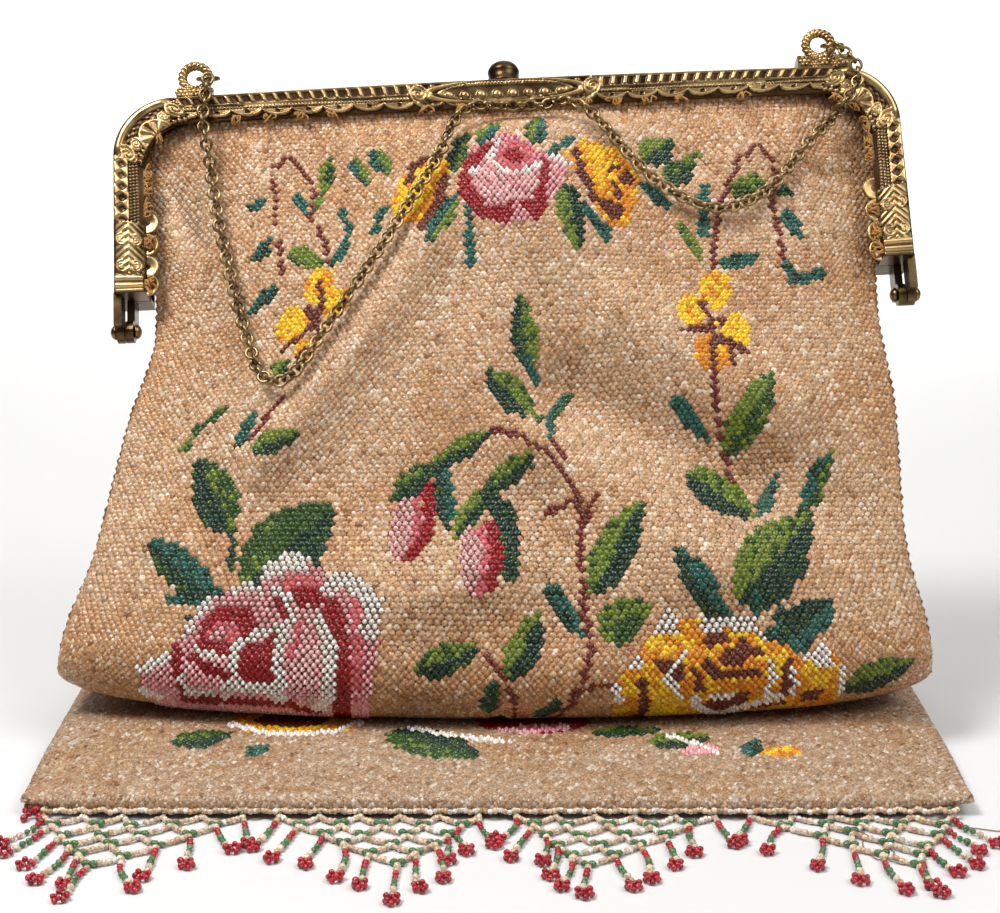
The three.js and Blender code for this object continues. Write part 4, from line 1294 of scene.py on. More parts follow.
def bead_mesh(name, field, side, chart, palette, sizes, rng, material):
    """One joined mesh of beads, each on the cloth with its own small tilt, size and colour."""
    share, path = field.share, field.path
    middle = surface_point(share, path, side)
    right = np.clip(share + SHARE_STEP, -1, 1)
    left = np.clip(share - SHARE_STEP, -1, 1)
    across_way = unit(surface_point(right, path, side) - surface_point(left, path, side))
    along_way = surface_point(share, path + PATH_STEP, side) - surface_point(share, path - PATH_STEP, side)
    out_way = unit(np.cross(across_way, along_way)) * side
    count = len(share)
    tilt = rng.normal(0, BEAD_TILT, (count, 2))
    out_way = unit(out_way + across_way * tilt[:, :1] + unit(along_way) * tilt[:, 1:])
    across_way = unit(across_way - out_way * np.sum(out_way * across_way, axis=1, keepdims=True))
    up_way = np.cross(out_way, across_way)
    ground = np.isin(chart, GROUND_BEADS)
    size = rng.normal(1, BEAD_SPREAD, count)
    opaque = np.isin(chart, OPAQUE_BEADS)
    kind = np.where(ground[:, None], GROUND_SIZE, np.where(opaque[:, None], OPAQUE_SIZE, GLASS_SIZE))
    usual = np.array([sizes.bead_width / 2, sizes.bead_length / 2, sizes.bead_rise]) / MM
    half_sizes = size[:, None] * kind * usual
    base = middle - out_way * BEAD_SEAT + across_way * rng.normal(0, STRAY_ACROSS, (count, 1))
    base += side * up_way * rng.normal(0, STRAY_UP, (count, 1))
    base[:, 2] = np.maximum(base[:, 2], BEAD_FLOOR)
    ways = np.stack([across_way, up_way, out_way], axis=1)
    points = base[:, None, :] + np.einsum("pk,nk,nkc->npc", BEAD_POINTS, half_sizes, ways)
    points[..., 2] = np.maximum(points[..., 2], POINT_FLOOR)
    tint = np.where(ground[:, None], ground_tint(field), 1)
    colours = flecked_colours(chart, tint, palette, rng)
    faces = (BEAD_FACES[None] + len(BEAD_POINTS) * np.arange(count)[:, None, None]).reshape(-1, 3)
    mesh = bpy.data.meshes.new(name)
    mesh.vertices.add(count * len(BEAD_POINTS))
    mesh.vertices.foreach_set("co", (points * MM).astype(np.float32).ravel())
    mesh.loops.add(faces.size)
    mesh.loops.foreach_set("vertex_index", faces.ravel().astype(np.int32))
    mesh.polygons.add(len(faces))
    mesh.polygons.foreach_set("loop_start", np.arange(0, faces.size, 3, dtype=np.int32))
    add_point_colour(mesh, "bead_colour", colours.reshape(-1, 3))
    add_bead_cells(mesh, faces, count)
    return finish_piece(name, mesh, material)


# How uneven a bead's colour is, how beads differ, and the painted glints on clear ground beads
GROUND_FLECK = 0.09
PATTERN_FLECK = 0.07
PAINTED_GLINT_SHARE = 0.22
PAINTED_GLINT_COLOUR = np.array([1.0, 0.96, 0.88])
PAINTED_GLINT_STRENGTH = 0.6
BEAD_SHADE = 0.07


def flecked_colours(chart, tint, palette, rng):
    """A colour for each point of each bead. Clear ground beads are uneven, and some of them get a painted
    glint: one top point lightened towards white.
    """
    count = len(chart)
    ground = np.isin(chart, GROUND_BEADS)
    fleck = rng.normal(0, 1, (count, len(BEAD_POINTS)))
    fleck = np.where(ground, GROUND_FLECK, PATTERN_FLECK)[:, None] * fleck
    beads = np.array([palette[name] for name in chart]) * rng.normal(1, BEAD_SHADE, (count, 1))
    colours = (beads * tint)[:, None] * (1 + fleck)[..., None]
    # Painted glints: one top point of some ground beads is lightened towards white
    painted_glint_beads = np.flatnonzero(ground & (rng.random(count) < PAINTED_GLINT_SHARE))
    painted_glint_points = rng.integers(len(BEAD_BASE), len(BEAD_POINTS), len(painted_glint_beads))
    colours[painted_glint_beads, painted_glint_points] += PAINTED_GLINT_STRENGTH * (PAINTED_GLINT_COLOUR - colours[painted_glint_beads, painted_glint_points])
    return np.clip(colours, 0, 1)


CELL_SHARE = 0.3


def add_bead_cells(mesh, faces, count):
    """A texture map with one small square cell for each bead."""
    cells = math.ceil(math.sqrt(count))
    number = np.arange(count)
    corner = np.stack([number % cells, number // cells], axis=1) + 0.5
    local = CELL_SHARE * BEAD_POINTS[:, :2]
    places = ((corner[:, None] + local[None]) / cells).reshape(-1, 2)
    layer = mesh.uv_layers.new(name="OFBake")
    layer.data.foreach_set("uv", places[faces.ravel()].astype(np.float32).ravel())


# Frame

# Stamped relief: its forms are shares of a millimetre high and are cut off at the top.
RELIEF_TOP = 0.95
RELIEF_EDGE = 0.35
RELIEF_LIFT = 0.015
RELIEF_END_ROWS = 3

# Bar: studs, a milled line and lobes with holes, down from the top edge, and the oval panel in the middle
STUD_PITCH = 2.9
STUDS_AT = 1.75
STUDS_HALF = 1.0
STUD_FLAT = 0.72
STUD_SLOPE = 0.42
BAR_ROPE_AT = 4.2
LOBE_PITCH = 7.5
LOBES_FROM = 4.7
LOBE_SIDES = 4.75
LOBE_DROP = 1.95
LOBE_HOLE_AT = 5.5
LOBE_HOLE = 0.55
CARTOUCHE_HALF = 20.5
CARTOUCHE_AT = 3.1
CARTOUCHE_TALL = 3.0
BAR_VOLUTE = 2.3

# Corner: a roll along the outer edge, pearls along the inner one, a shell and scrolls
CORNER_RUN = 20
SHELL_RADIUS = 4.6
SHELL_SINK = 0.4
SHELL_FLUTES = 5
SHELL_FROM = 2.3
ROLL_AT = 1.25
ROLL_HALF = 1.15
CORNER_VOLUTES = ((0.07, 0.48, 2.5), (0.93, 0.48, 2.5), (0.25, 0.62, 1.6), (0.75, 0.62, 1.6))

# Arm: diamond studs beside milled lines, then a leaf panel and ribs
ARM_STUDS_TO = 15
ARM_PANEL_TO = 28
ARM_RIBS_TO = 33.2
DIAMOND_PITCH = 2.7
DIAMOND_TALL = 1.7
DIAMONDS_AT = 2.1
DIAMONDS_TO = 3.7
ARM_LINES = (4.3, 5.15, 6.0)
FROND_PITCH = 1.7
CURL_PITCH = 6.5
RIB_PITCH = 1.73

Band = namedtuple("Band", "zone place outer inner")
BAR_ZONE, CORNER_ZONE, ARM_ZONE = range(3)
QUARTER_TURN = 1.6


def frame_band(step):
    """The right half of the frame's face, from the top middle to the arm's end: its two edges."""
    turn_outer = FRAME_HALF - FRAME_CORNER
    turn_inner = FRAME_HALF - ARM_FACE - INNER_CORNER
    rows = []
    for t in np.linspace(0, 1, int(turn_outer / step), endpoint=False):
        bow = 1 - t * t
        outer = (t * turn_outer, FRAME_ARCH * bow)
        inner = (t * turn_inner, -BAR_FACE + FRAME_ARCH / 2 * bow)
        rows.append((BAR_ZONE, t * turn_outer, outer, inner))
    for t in np.linspace(0, 1, int(FRAME_CORNER * QUARTER_TURN / step), endpoint=False):
        angle = math.pi / 2 * (1 - t)
        c, s = math.cos(angle), math.sin(angle)
        outer = (turn_outer + FRAME_CORNER * c, -FRAME_CORNER + FRAME_CORNER * s)
        inner = (turn_inner + INNER_CORNER * c, -BAR_FACE - INNER_CORNER + INNER_CORNER * s)
        rows.append((CORNER_ZONE, t, outer, inner))
    outer_run = -FRAME_CORNER - ARM_END
    inner_run = -BAR_FACE - INNER_CORNER - ARM_END
    for t in np.linspace(0, 1, int(outer_run / step)):
        outer = (FRAME_HALF, -FRAME_CORNER - t * outer_run)
        inner = (FRAME_HALF - ARM_FACE, -BAR_FACE - INNER_CORNER - t * inner_run)
        rows.append((ARM_ZONE, t * (outer_run + inner_run) / 2, outer, inner))
    return Band(*(np.array(column) for column in zip(*rows)))


def ridge(value, middle, half):
    """A round ridge of height 1."""
    return np.sqrt(np.maximum(0, 1 - ((value - middle) / half) ** 2))


def repeat(x, pitch):
    """Distance from the middle of the step that a place lies in."""
    return np.abs(x % pitch - pitch / 2)


def rope(x, v, at, half, pitch=0.8):
    """A fine milled line."""
    return ridge(v, at, half) * (0.6 + 0.4 * np.sin(2 * math.pi * (x + 0.5 * v) / pitch))


def pearl(x, v, pitch, at, radius):
    """A row of round bosses."""
    return np.sqrt(np.maximum(0, 1 - (np.hypot(repeat(x, pitch), v - at) / radius) ** 2))


def volute(x, v, radius):
    """A scroll's eye with one turn round it."""
    away = np.hypot(x, v)
    turn = np.arctan2(v, x)
    spiral = 0.4 + 0.55 * np.cos(math.pi * (away / (0.42 * radius) - turn / math.pi)) ** 2
    return np.where(away < radius, spiral, 0)


def bar_relief(x, v):
    """Height of the stamped bar. x: from the middle. v: down from the top edge."""
    in_studs = np.abs(v - STUDS_AT) < STUDS_HALF
    studs = (0.1 + 0.6 * np.clip((repeat(x, STUD_PITCH) - STUD_FLAT) / STUD_SLOPE, 0, 1)) * in_studs
    drop = repeat(x, LOBE_PITCH) / (LOBE_PITCH / 2)
    lobe_end = LOBE_SIDES + LOBE_DROP * np.sqrt(1 - np.minimum(drop, 1) ** 2)
    lobes = np.where(v < lobe_end, 0.35 + 0.4 * ridge(v, lobe_end - 0.3, 0.4), 0) * (v > LOBES_FROM)
    round_hole = np.hypot(repeat(x, LOBE_PITCH), v - LOBE_HOLE_AT) > LOBE_HOLE
    plain = (
        0.6 * ridge(v, 0.4, 0.35)
        + studs
        + 0.35 * ridge(v, 2.95, 0.25)
        + 0.3 * (np.abs(v - 3.45) < 0.35)
        + 0.75 * rope(x, v, BAR_ROPE_AT, 0.38)
        + lobes * round_hole
    )
    oval = np.hypot(x / CARTOUCHE_HALF, (v - CARTOUCHE_AT) / CARTOUCHE_TALL)
    panel = (
        0.9 * ridge(oval, 0.94, 0.09)
        + 0.5 * ridge(oval, 0.76, 0.06)
        + 0.5 * rope(x, v, 1.2, 0.5) * (oval < 0.9)
        + 0.75 * pearl(x, v, 3.9, 3.9, 1.15) * (oval < 0.72)
        + 0.25 * (oval < 0.7)
    )
    height = np.where(oval < 1.02, panel, np.where(np.abs(x) < CARTOUCHE_HALF, 0.5 * plain, plain))
    scroll = volute(x - CARTOUCHE_HALF - 0.6, v - 3.0, BAR_VOLUTE)
    return np.where(scroll > 0, scroll, height)


def corner_relief(t, v, width):
    """Height of the leaf-and-scroll corner. t: from the bar to the arm. v: in from the outer edge."""
    x = t * CORNER_RUN
    roll = 0.95 * ridge(v, ROLL_AT, ROLL_HALF) * np.clip(8 * np.minimum(t - 0.02, 1.02 - t), 0, 1)
    pearls = 0.7 * pearl(x, width - v, 1.5, 0.8, 0.7)
    inward = width - v + SHELL_SINK
    from_shell = np.hypot(x - CORNER_RUN / 2, inward)
    flute = np.arctan2(inward, x - CORNER_RUN / 2)
    shell = (0.4 + 0.5 * np.abs(np.cos(SHELL_FLUTES * flute))) * (from_shell < SHELL_RADIUS)
    shell = np.maximum(shell, 0.9 * ridge(from_shell, SHELL_RADIUS, 0.5)) * (v > SHELL_FROM)
    height = np.maximum(np.maximum(roll, pearls), shell)
    for at, share, radius in CORNER_VOLUTES:
        height = np.maximum(height, volute(x - at * CORNER_RUN, v - share * width, radius))
    ripple = 0.3 * np.abs(np.sin(1.7 * x + 2.1 * v) * np.sin(1.3 * x - 2.6 * v))
    return np.maximum(height, ripple * (v > ROLL_AT + ROLL_HALF))


def arm_relief(s, v):
    """Height of the stamped arm. s: down from the corner. v: in from the outer edge."""
    diamond = repeat(s, DIAMOND_PITCH) / (DIAMOND_PITCH / 2) + np.abs(v - DIAMONDS_AT) / DIAMOND_TALL
    studs = (0.16 + 0.7 * np.clip(2.2 * (diamond - 0.58), 0, 1)) * (v < DIAMONDS_TO)
    lines = sum(0.6 * rope(s, v, at, 0.33) for at in ARM_LINES)
    middle = np.abs(v - ARM_FACE / 2)
    frond = np.abs(np.sin(math.pi * (s - 0.9 * middle) / FROND_PITCH)) ** 0.8
    leaf = (0.35 + 0.5 * frond) * np.clip(1.25 - middle / 3.4, 0, 1)
    curl = volute(repeat(s, CURL_PITCH) - CURL_PITCH / 2, middle - 1.9, 1.5)
    panel = np.maximum(np.maximum(leaf, 0.9 * curl), 0.8 * ridge(middle, 0, 0.4))
    ribs = 0.9 * np.abs(np.sin(math.pi * (s - ARM_PANEL_TO) / RIB_PITCH)) ** 0.6
    height = np.where(s < ARM_STUDS_TO, studs + lines, np.where(s < ARM_PANEL_TO, panel, ribs))
    return np.where(s > ARM_RIBS_TO, 0.4, height)


def relief_shape(step, columns, facing):
    """Stamped relief over one half of the frame. facing: 1 front, -1 back."""
    band = frame_band(step)
    width = np.linalg.norm(band.inner - band.outer, axis=1)[:, None]
    share = np.linspace(0, 1, columns)[None]
    v = share * width
    place = band.place[:, None]
    height = np.select(
        [band.zone[:, None] == BAR_ZONE, band.zone[:, None] == CORNER_ZONE],
        [bar_relief(place, v), corner_relief(place, v, width)],
        arm_relief(place, v),
    )
    edge = np.clip(np.minimum(share, 1 - share) * width / RELIEF_EDGE, 0, 1)
    end = np.clip((np.arange(len(place))[::-1, None]) / RELIEF_END_ROWS, 0, 1)
    height = np.clip(height, 0, RELIEF_TOP) * edge * end
    flat = band.outer[:, None] + (band.inner - band.outer)[:, None] * share[..., None]
    whole_across = np.concatenate([-flat[:0:-1, :, 0], flat[..., 0]])
    whole_up = np.concatenate([flat[:0:-1, :, 1], flat[..., 1]])
    whole_height = np.concatenate([height[:0:-1], height])
    points = frame_point(whole_across, facing * (FRAME_DEPTH + RELIEF_LIFT + whole_height), whole_up)
    faces = grid_faces(*whole_across.shape)
    shape = Shape()
    shape.add(points, faces if facing > 0 else flipped(faces), (whole_height / RELIEF_TOP).reshape(-1, 1))
    return shape


Scallop = namedtuple("Scallop", "across up way radius")
FLANGE_UPS = (-31, -36.4, -41.8, -46.2)
FLANGE_RADIUS = 2.7
FLANGE_SINK = 0.55

# Rings of a lobe from its sewing hole out: reach, lift and how bright the metal is
FLANGE_RINGS = (
    (0.26, 0.0, 0.05), (0.34, 0.12, 0.6), (0.74, 0.05, 0.65), (0.9, 0.3, 1.0), (1.0, 0.2, 0.85),
    (1.02, -0.5, 0.0),
)

# Stitches: places on the corners and arms, and how far they reach into the cloth
CORNER_STITCHES = (0.2, 0.5, 0.8)
ARM_STITCHES = (-19.5, -23, -27.5)
BAR_STITCH_RISE = 0.9
BAR_REACH = 1.7
CORNER_REACH = 1.5
FLANGE_REACH = 2.2


def arm_scallops():
    """Lobes of the sewn flange on the arms' inner edges, and the way that each points."""
    return [arm_place(side, up, FLANGE_RADIUS) for side in (-1, 1) for up in FLANGE_UPS]


def arm_place(side, up, radius):
    return Scallop(side * (FRAME_HALF - ARM_FACE), up, math.pi if side > 0 else 0, radius)


def lobe_point(lobe, out, along, depth):
    """A place in the row frame, from a lobe's middle out along its way and along the frame's edge."""
    across = lobe.across + out * math.cos(lobe.way) - along * math.sin(lobe.way)
    up = lobe.up + out * math.sin(lobe.way) + along * math.cos(lobe.way)
    return frame_point(across, depth, up)


def stitch_places():
    """Holes and edges that the frame is sewn through: the bar's lobes, the corners and the arms."""
    places = []
    inner_turn = FRAME_HALF - ARM_FACE - INNER_CORNER
    count = int(inner_turn / LOBE_PITCH)
    for i in range(-count, count):
        across = (i + 0.5) * LOBE_PITCH
        rise = FRAME_ARCH / 2 * (1 - (across / inner_turn) ** 2)
        places.append(Scallop(across, BAR_STITCH_RISE - BAR_FACE + rise, -math.pi / 2, BAR_REACH))
    for side in (-1, 1):
        for t in CORNER_STITCHES:
            angle = t * math.pi / 2
            across = inner_turn + INNER_CORNER * math.sin(angle)
            up = -BAR_FACE - INNER_CORNER + INNER_CORNER * math.cos(angle)
            way = -math.pi / 2 - angle
            places.append(Scallop(side * across, up, way if side > 0 else math.pi - way, CORNER_REACH))
        places += [arm_place(side, up, BAR_REACH) for up in ARM_STITCHES]
    return places + [lobe._replace(radius=FLANGE_REACH) for lobe in arm_scallops()]


def scallop_shape(facing):
    """Round lobes of thin metal, each with a sewing hole and a raised lip."""
    shape = Shape()
    turns = np.linspace(-math.pi / 2, math.pi / 2, 11)
    faces = grid_faces(len(FLANGE_RINGS), len(turns))
    bright = np.repeat([tone for _, _, tone in FLANGE_RINGS], len(turns))[:, None]
    for lobe in arm_scallops():
        rings = []
        for reach, lift, _ in FLANGE_RINGS:
            out = lobe.radius * (0.15 + reach * np.cos(turns))
            along = lobe.radius * reach * np.sin(turns)
            rings.append(lobe_point(lobe, out, along, facing * (FRAME_DEPTH - FLANGE_SINK + lift)))
        shape.add(np.concatenate(rings), flipped(faces) if facing > 0 else faces, bright)
    return shape


# Tufts of stitches: share left out, fewest and most strands, spread along the edge and height
Tuft = namedtuple("Tuft", "left_out fewest most spread lift")
ARM_TUFT = Tuft(0.35, 9, 15, 0.9, 1.1)
BAR_TUFT = Tuft(0.12, 5, 10, 0.7, 0.5)
ARM_TUFTS_FROM = -18
STRAND_CURL = 0.8
STRAND_POINTS = 9
STRAND_SIDES = 6


def stitch_shape(sizes, rng):
    """Orange thread from the frame's edge into the cloth: a small tuft of strands at each place."""
    shape = Shape()
    radius = millimetres(sizes.thread) / 2
    steps = np.linspace(0, 1, STRAND_POINTS)
    arch = np.sin(math.pi * steps)
    for lobe in stitch_places():
        tuft = ARM_TUFT if lobe.up < ARM_TUFTS_FROM else BAR_TUFT
        if rng.random() < tuft.left_out:
            continue
        for _ in range(rng.integers(tuft.fewest, tuft.most)):
            start, end = rng.normal(0, tuft.spread, 2)
            curl = rng.normal(0, STRAND_CURL)
            reach = lobe.radius * (0.4 + 0.8 * rng.random())
            lift = 0.3 + tuft.lift * rng.random()
            turn = rng.uniform(0.55, 0.85) * math.pi
            along = start * (1 - steps) + end * steps + curl * arch
            depth = FRAME_DEPTH + lift * arch + 0.2 - 0.9 * steps * steps
            line = lobe_point(lobe, reach * np.sin(turn * steps), along, depth)
            shape.add(*tube(line, radius, STRAND_SIDES))
    return shape


# Chain loops: three twisted strands, and knobs and flowers on the block below
ROPE_STRANDS = 3
ROPE_TWISTS = 6
ROPE_REACH = 0.66
ROPE_STRAND = 0.5
ROPE_POINTS = 120
ROPE_TONE = 0.75
FLOWER_DEPTH = 6.8
BLOCK_LIFT = 0.2
KNOB_SHARES = (-0.85, 0.85)
KNOB_DEPTH = 4.6
KNOB_RADIUS = 0.85

# Flowers on a loop's block: share across, share up and size
LOOP_FLOWERS = (
    (-0.74, 0.5, 1.5), (0.74, 0.5, 1.5), (0, 0.55, 1.7), (-0.38, 0.2, 1.2), (0.38, 0.2, 1.2),
    (-0.36, 0.85, 1.0), (0.36, 0.85, 1.0),
)


def loop_shape():
    """Twisted rope rings over the chain loops, and knobs and flowers on the blocks that carry them."""
    shape = Shape()
    turn = full_turn(ROPE_POINTS)
    for loop in LOOPS:
        for start in full_turn(ROPE_STRANDS):
            twist = ROPE_TWISTS * turn + start
            radius = LOOP_RING + ROPE_REACH * np.cos(twist)
            route = frame_point(
                loop.across + radius * np.cos(turn),
                LOOP_DEPTH + ROPE_REACH * np.sin(twist),
                loop.up + radius * np.sin(turn),
            )
            shape.add(*tube(route, ROPE_STRAND, 8, closed=True), ROPE_TONE)
        middle = (loop.block_from + loop.block_to) / 2
        half = (loop.block_to - loop.block_from) / 2
        for share, up, size in LOOP_FLOWERS:
            add_rosette(shape, middle + share * half, FLOWER_DEPTH, up * loop.block_top + BLOCK_LIFT, size)
        for share in KNOB_SHARES:
            knob = frame_point(middle + share * half, KNOB_DEPTH, loop.block_top + BLOCK_LIFT)
            shape.add(*ball(knob, KNOB_RADIUS * np.eye(3), 12, 7), ROPE_TONE)
    return shape


PETALS = 6
PETAL_REACH = 0.62
PETAL_SIZE = 0.34
PETAL_TONE = 0.7
EYE_SIZE = 0.42
EYE_TONE = 1.0


def add_rosette(shape, across, depth, up, size):
    """A small round flower: a bright eye and stamped petals."""
    middle = frame_point(across, depth, up)
    shape.add(*ball(middle, EYE_SIZE * size * np.eye(3), 10, 5), EYE_TONE)
    reach = PETAL_REACH * size
    for turn in full_turn(PETALS):
        place = frame_point(across + reach * math.cos(turn), depth, up + reach * math.sin(turn))
        shape.add(*ball(place, PETAL_SIZE * size * np.eye(3), 8, 5), PETAL_TONE)


def lathe(profile, segments):
    """A turned piece: its points' places across, to the front and along the axis, and its faces."""
    turn = full_turn(segments)
    radius = np.array([r for r, _ in profile])[:, None]
    height = np.array([h for _, h in profile])[:, None] * np.ones(segments)
    faces = grid_faces(len(profile), segments, closed=True)
    return radius * np.cos(turn), radius * np.sin(turn), height, faces


AXIS_RADIUS = 0.002


def dome_profile(radius, base, height, steps):
    turns = np.linspace(0, math.pi / 2, steps)
    return [(max(radius * math.cos(t), AXIS_RADIUS), base + height * math.sin(t)) for t in turns]


# Push button: radius and height of its stem, milled skirt and dome
BUTTON_BASE = 2.1
BUTTON_RADIUS = 3.9
BUTTON_WALL = 3.2
BUTTON_RIM = BUTTON_BASE + BUTTON_WALL
DOME_RADIUS = 3.85
DOME_RISE = 3.0
BUTTON_STEM = 1.8
BUTTON_STEM_END = -1.7
BUTTON_PROFILE = [
    (AXIS_RADIUS, BUTTON_STEM_END),
    (BUTTON_STEM, BUTTON_STEM_END),
    (BUTTON_STEM, BUTTON_BASE),
    (3.5, BUTTON_BASE),
    (BUTTON_RADIUS, BUTTON_BASE + 0.2),
    (BUTTON_RADIUS, BUTTON_BASE + 0.9),
    (3.72, BUTTON_BASE + 1.1),
    (3.72, BUTTON_RIM - 0.3),
    *dome_profile(DOME_RADIUS, BUTTON_RIM, DOME_RISE, 14),
]
BUTTON_TONE = 0.16
BUTTON_TEETH = 40
TOOTH_RADIUS = 0.27
TOOTH_RISE = 0.45


def clasp_shape():
    """Push button: a dome with a milled skirt, on its stem."""
    shape = Shape()
    across, depth, height, faces = lathe(BUTTON_PROFILE, 48)
    shape.add(frame_point(across, depth, height), flipped(faces), BUTTON_TONE)
    for turn in full_turn(BUTTON_TEETH):
        across = BUTTON_RADIUS * math.cos(turn)
        tooth = frame_point(across, BUTTON_RADIUS * math.sin(turn), BUTTON_BASE + TOOTH_RISE)
        shape.add(*ball(tooth, TOOTH_RADIUS * np.eye(3), 6, 3), BUTTON_TONE)
    return shape


# Hinge rivets: a round head on each end of the shank
RIVET_SHANK = 2.25
RIVET_SHANK_RADIUS = 1.1
RIVET_HEAD_RADIUS = 1.75
RIVET_HEAD_RISE = 1.4
RIVET_HEAD = dome_profile(RIVET_HEAD_RADIUS, RIVET_SHANK, RIVET_HEAD_RISE, 8)
RIVET_PROFILE = [
    *((r, -h) for r, h in RIVET_HEAD[::-1]),
    (RIVET_SHANK_RADIUS, -RIVET_SHANK),
    (RIVET_SHANK_RADIUS, RIVET_SHANK),
    *RIVET_HEAD,
]
RIVET_TONE = 0.4


def rivet_shape():
    """Ball-headed hinge rivets at the arms' ends."""
    shape = Shape()
    up, depth, along, faces = lathe(RIVET_PROFILE, 24)
    for side in (-1, 1):
        shape.add(frame_point(side * RIVET_ACROSS + along, depth, RIVET_UP + up), faces, RIVET_TONE)
    return shape


# Chain

def chain_depth(across, up):
    """Depth of the chain's middle in front of the middle line, resting on whatever is below it."""
    below = FRAME_DEPTH + CHAIN_FRAME_GAP if up > FRAME_UP - BAR_FACE - CHAIN_RADIUS else 0.0
    turn = full_turn(12)
    reach = CHAIN_RADIUS + CHAIN_GAP
    along = SLOPE_AT + up + reach * np.sin(turn)
    share = np.clip((across + reach * np.cos(turn)) / half_width(along), -1, 1)
    on_cloth = np.where(along < CLOTH_LENGTH, front_depth(share, along, 0.0), 0)
    return max(below, on_cloth.max()) + reach


def chain_route():
    flat = smooth_route(CHAIN_ROUTE, CHAIN_STEPS + 1)
    depths = np.array([chain_depth(across, up) for across, up in flat])
    around = np.pad(depths, 1, mode="edge")
    depths = np.maximum(np.maximum(around[:-2], around[1:-1]), around[2:])
    return smooth_route(place_on_pouch(flat[:, 0], SLOPE_AT + flat[:, 1], depths), CHAIN_FINE_STEPS)


# Links: how they turn about the chain, how long and wide they are, and their play
LINK_TURNS = (math.radians(12), math.radians(102))
LINK_SWAY = 0.14
LINK_LONG = 1.06
LINK_WIDE = 0.94
LINK_PLAY = 0.12
LINK_POINTS = 18


def link_shape(sizes, rng):
    """Round links, each turned a quarter against the last."""
    shape = Shape()
    route = chain_route()
    wire = millimetres(sizes.link_wire) / 2
    ring = millimetres(sizes.link_outer) / 2 - wire
    pitch = 2 * (ring - wire) + LINK_PLAY
    count = int(lengths_along(route)[-1] / pitch)
    places = spaced(route, count)
    ahead = unit(np.gradient(places, axis=0))
    face_out = frame_point(0, 1, 0) - frame_point(0, 0, 0)
    turn = full_turn(LINK_POINTS)
    long_part = LINK_LONG * np.cos(turn)
    wide_part = LINK_WIDE * np.sin(turn)
    for number, (place, way) in enumerate(zip(places, ahead)):
        side = unit(np.cross(way, face_out))
        lift = np.cross(side, way)
        lean = LINK_TURNS[number % 2] + rng.normal(0, LINK_SWAY)
        wide = side * math.cos(lean) + lift * math.sin(lean)
        link = place + ring * (np.outer(long_part, way) + np.outer(wide_part, wide))
        shape.add(*tube(link, wire, 8, closed=True))
    return shape


def jump_ring_shape():
    shape = Shape()
    turn = full_turn(40)
    for loop in LOOPS:
        x = JUMP_RING * np.cos(turn)
        reach = JUMP_RING * np.sin(turn)
        depth = LOOP_DEPTH + JUMP_ROOM - reach * math.cos(JUMP_DIP)
        up = loop.up - JUMP_DROP + reach * math.sin(JUMP_DIP)
        shape.add(*tube(frame_point(loop.across + LOOP_RING + x, depth, up), JUMP_WIRE, 10, closed=True))
    return shape


# Fringe

FLOOR_CLEAR = 0.05
THREAD_RADIUS = 0.14
THREAD_SIDES = 5

# How far the fringe's beads differ in size, height and shade
NET_SPREAD = 0.08
NET_BOUNCE = 0.06
NET_SHADE = 0.12

# Half a bead's length against its step on the string, and at most against its radius
LENGTH_ON_STRING = 0.62
LENGTH_ON_BEAD = 1.15

# Swags: small beads on strings that hang in a curve
STRING_BEADS = ("clear", "clear", "clear", "white", "pale", "clear")
SMALL_BEAD = 0.86
SWAG_BEADS = 6
SWAG_POINTS = 9
SWAG_DIP = 0.9
SWAG_POWER = 1.6
SWAG_SWAY = 0.25

# Scallops along the hem
PICOTS = 46
PICOT_BEADS = 5
PICOT_SPAN = 0.96
PICOT_Y = HEM_Y - 1.6
PICOT_Z = 2.0
PICOT_DIP = 1.5

# Nets: how far each leans to the side, points at the hem, and green knots one row below the other
NET_SKEWS = (-1.3, 0.8, -1.1, 1.9)
NET_POINTS = 6
NET_PITCH = 8.2
NET_STEP = 48.6
NET_SHIFT = -0.6
NET_DROP = 4.9
NET_START_Y = HEM_Y - 1.4
KNOT = ("grass", "grass")
KNOT_HALF = 1.5
KNOT_STRAY_ACROSS = 0.5
KNOT_STRAY_DOWN = 0.4

# Drops: beads on a thread, and a loop of red beads at its end
DROP_CORES = (
    ("clear", "clear", "red", "red", "grass", "grass", "clear"),
    ("pale", "red", "red", "grass", "grass", "clear", "clear"),
    ("clear", "pale", "red", "red", "grass", "grass", "clear", "pale"),
    ("clear", "red", "red", "grass", "grass", "clear"),
)
DROP_BEAD = 0.95
DROP_BEAD_STEP = 2.35
DROP_SPLAY = 0.14
DROP_SWING = 1.3
DROP_LOOP = 9
LOOP_LONG = (1.15, 1.55)
LOOP_WIDE = (1.0, 1.4)
LOOP_SHADE = 0.18

# Beads that hang at the hem's left corner
HEM_TUFT = (
    (("red", "red", "red"), ((-94, -38, 2.2), (-95, -40, 1), (-94.4, -42, 0.8))),
    (("red", "red", "red"), ((-95.4, -38, 2.2), (-97.4, -39.4, 1), (-98.2, -41.4, 0.8))),
    (("red", "red"), ((-96.4, -37, 2.4), (-99, -37.6, 0.8))),
    (("amber",), ((-97.6, -35.4, 2), (-99.2, -35.6, 0.8))),
)


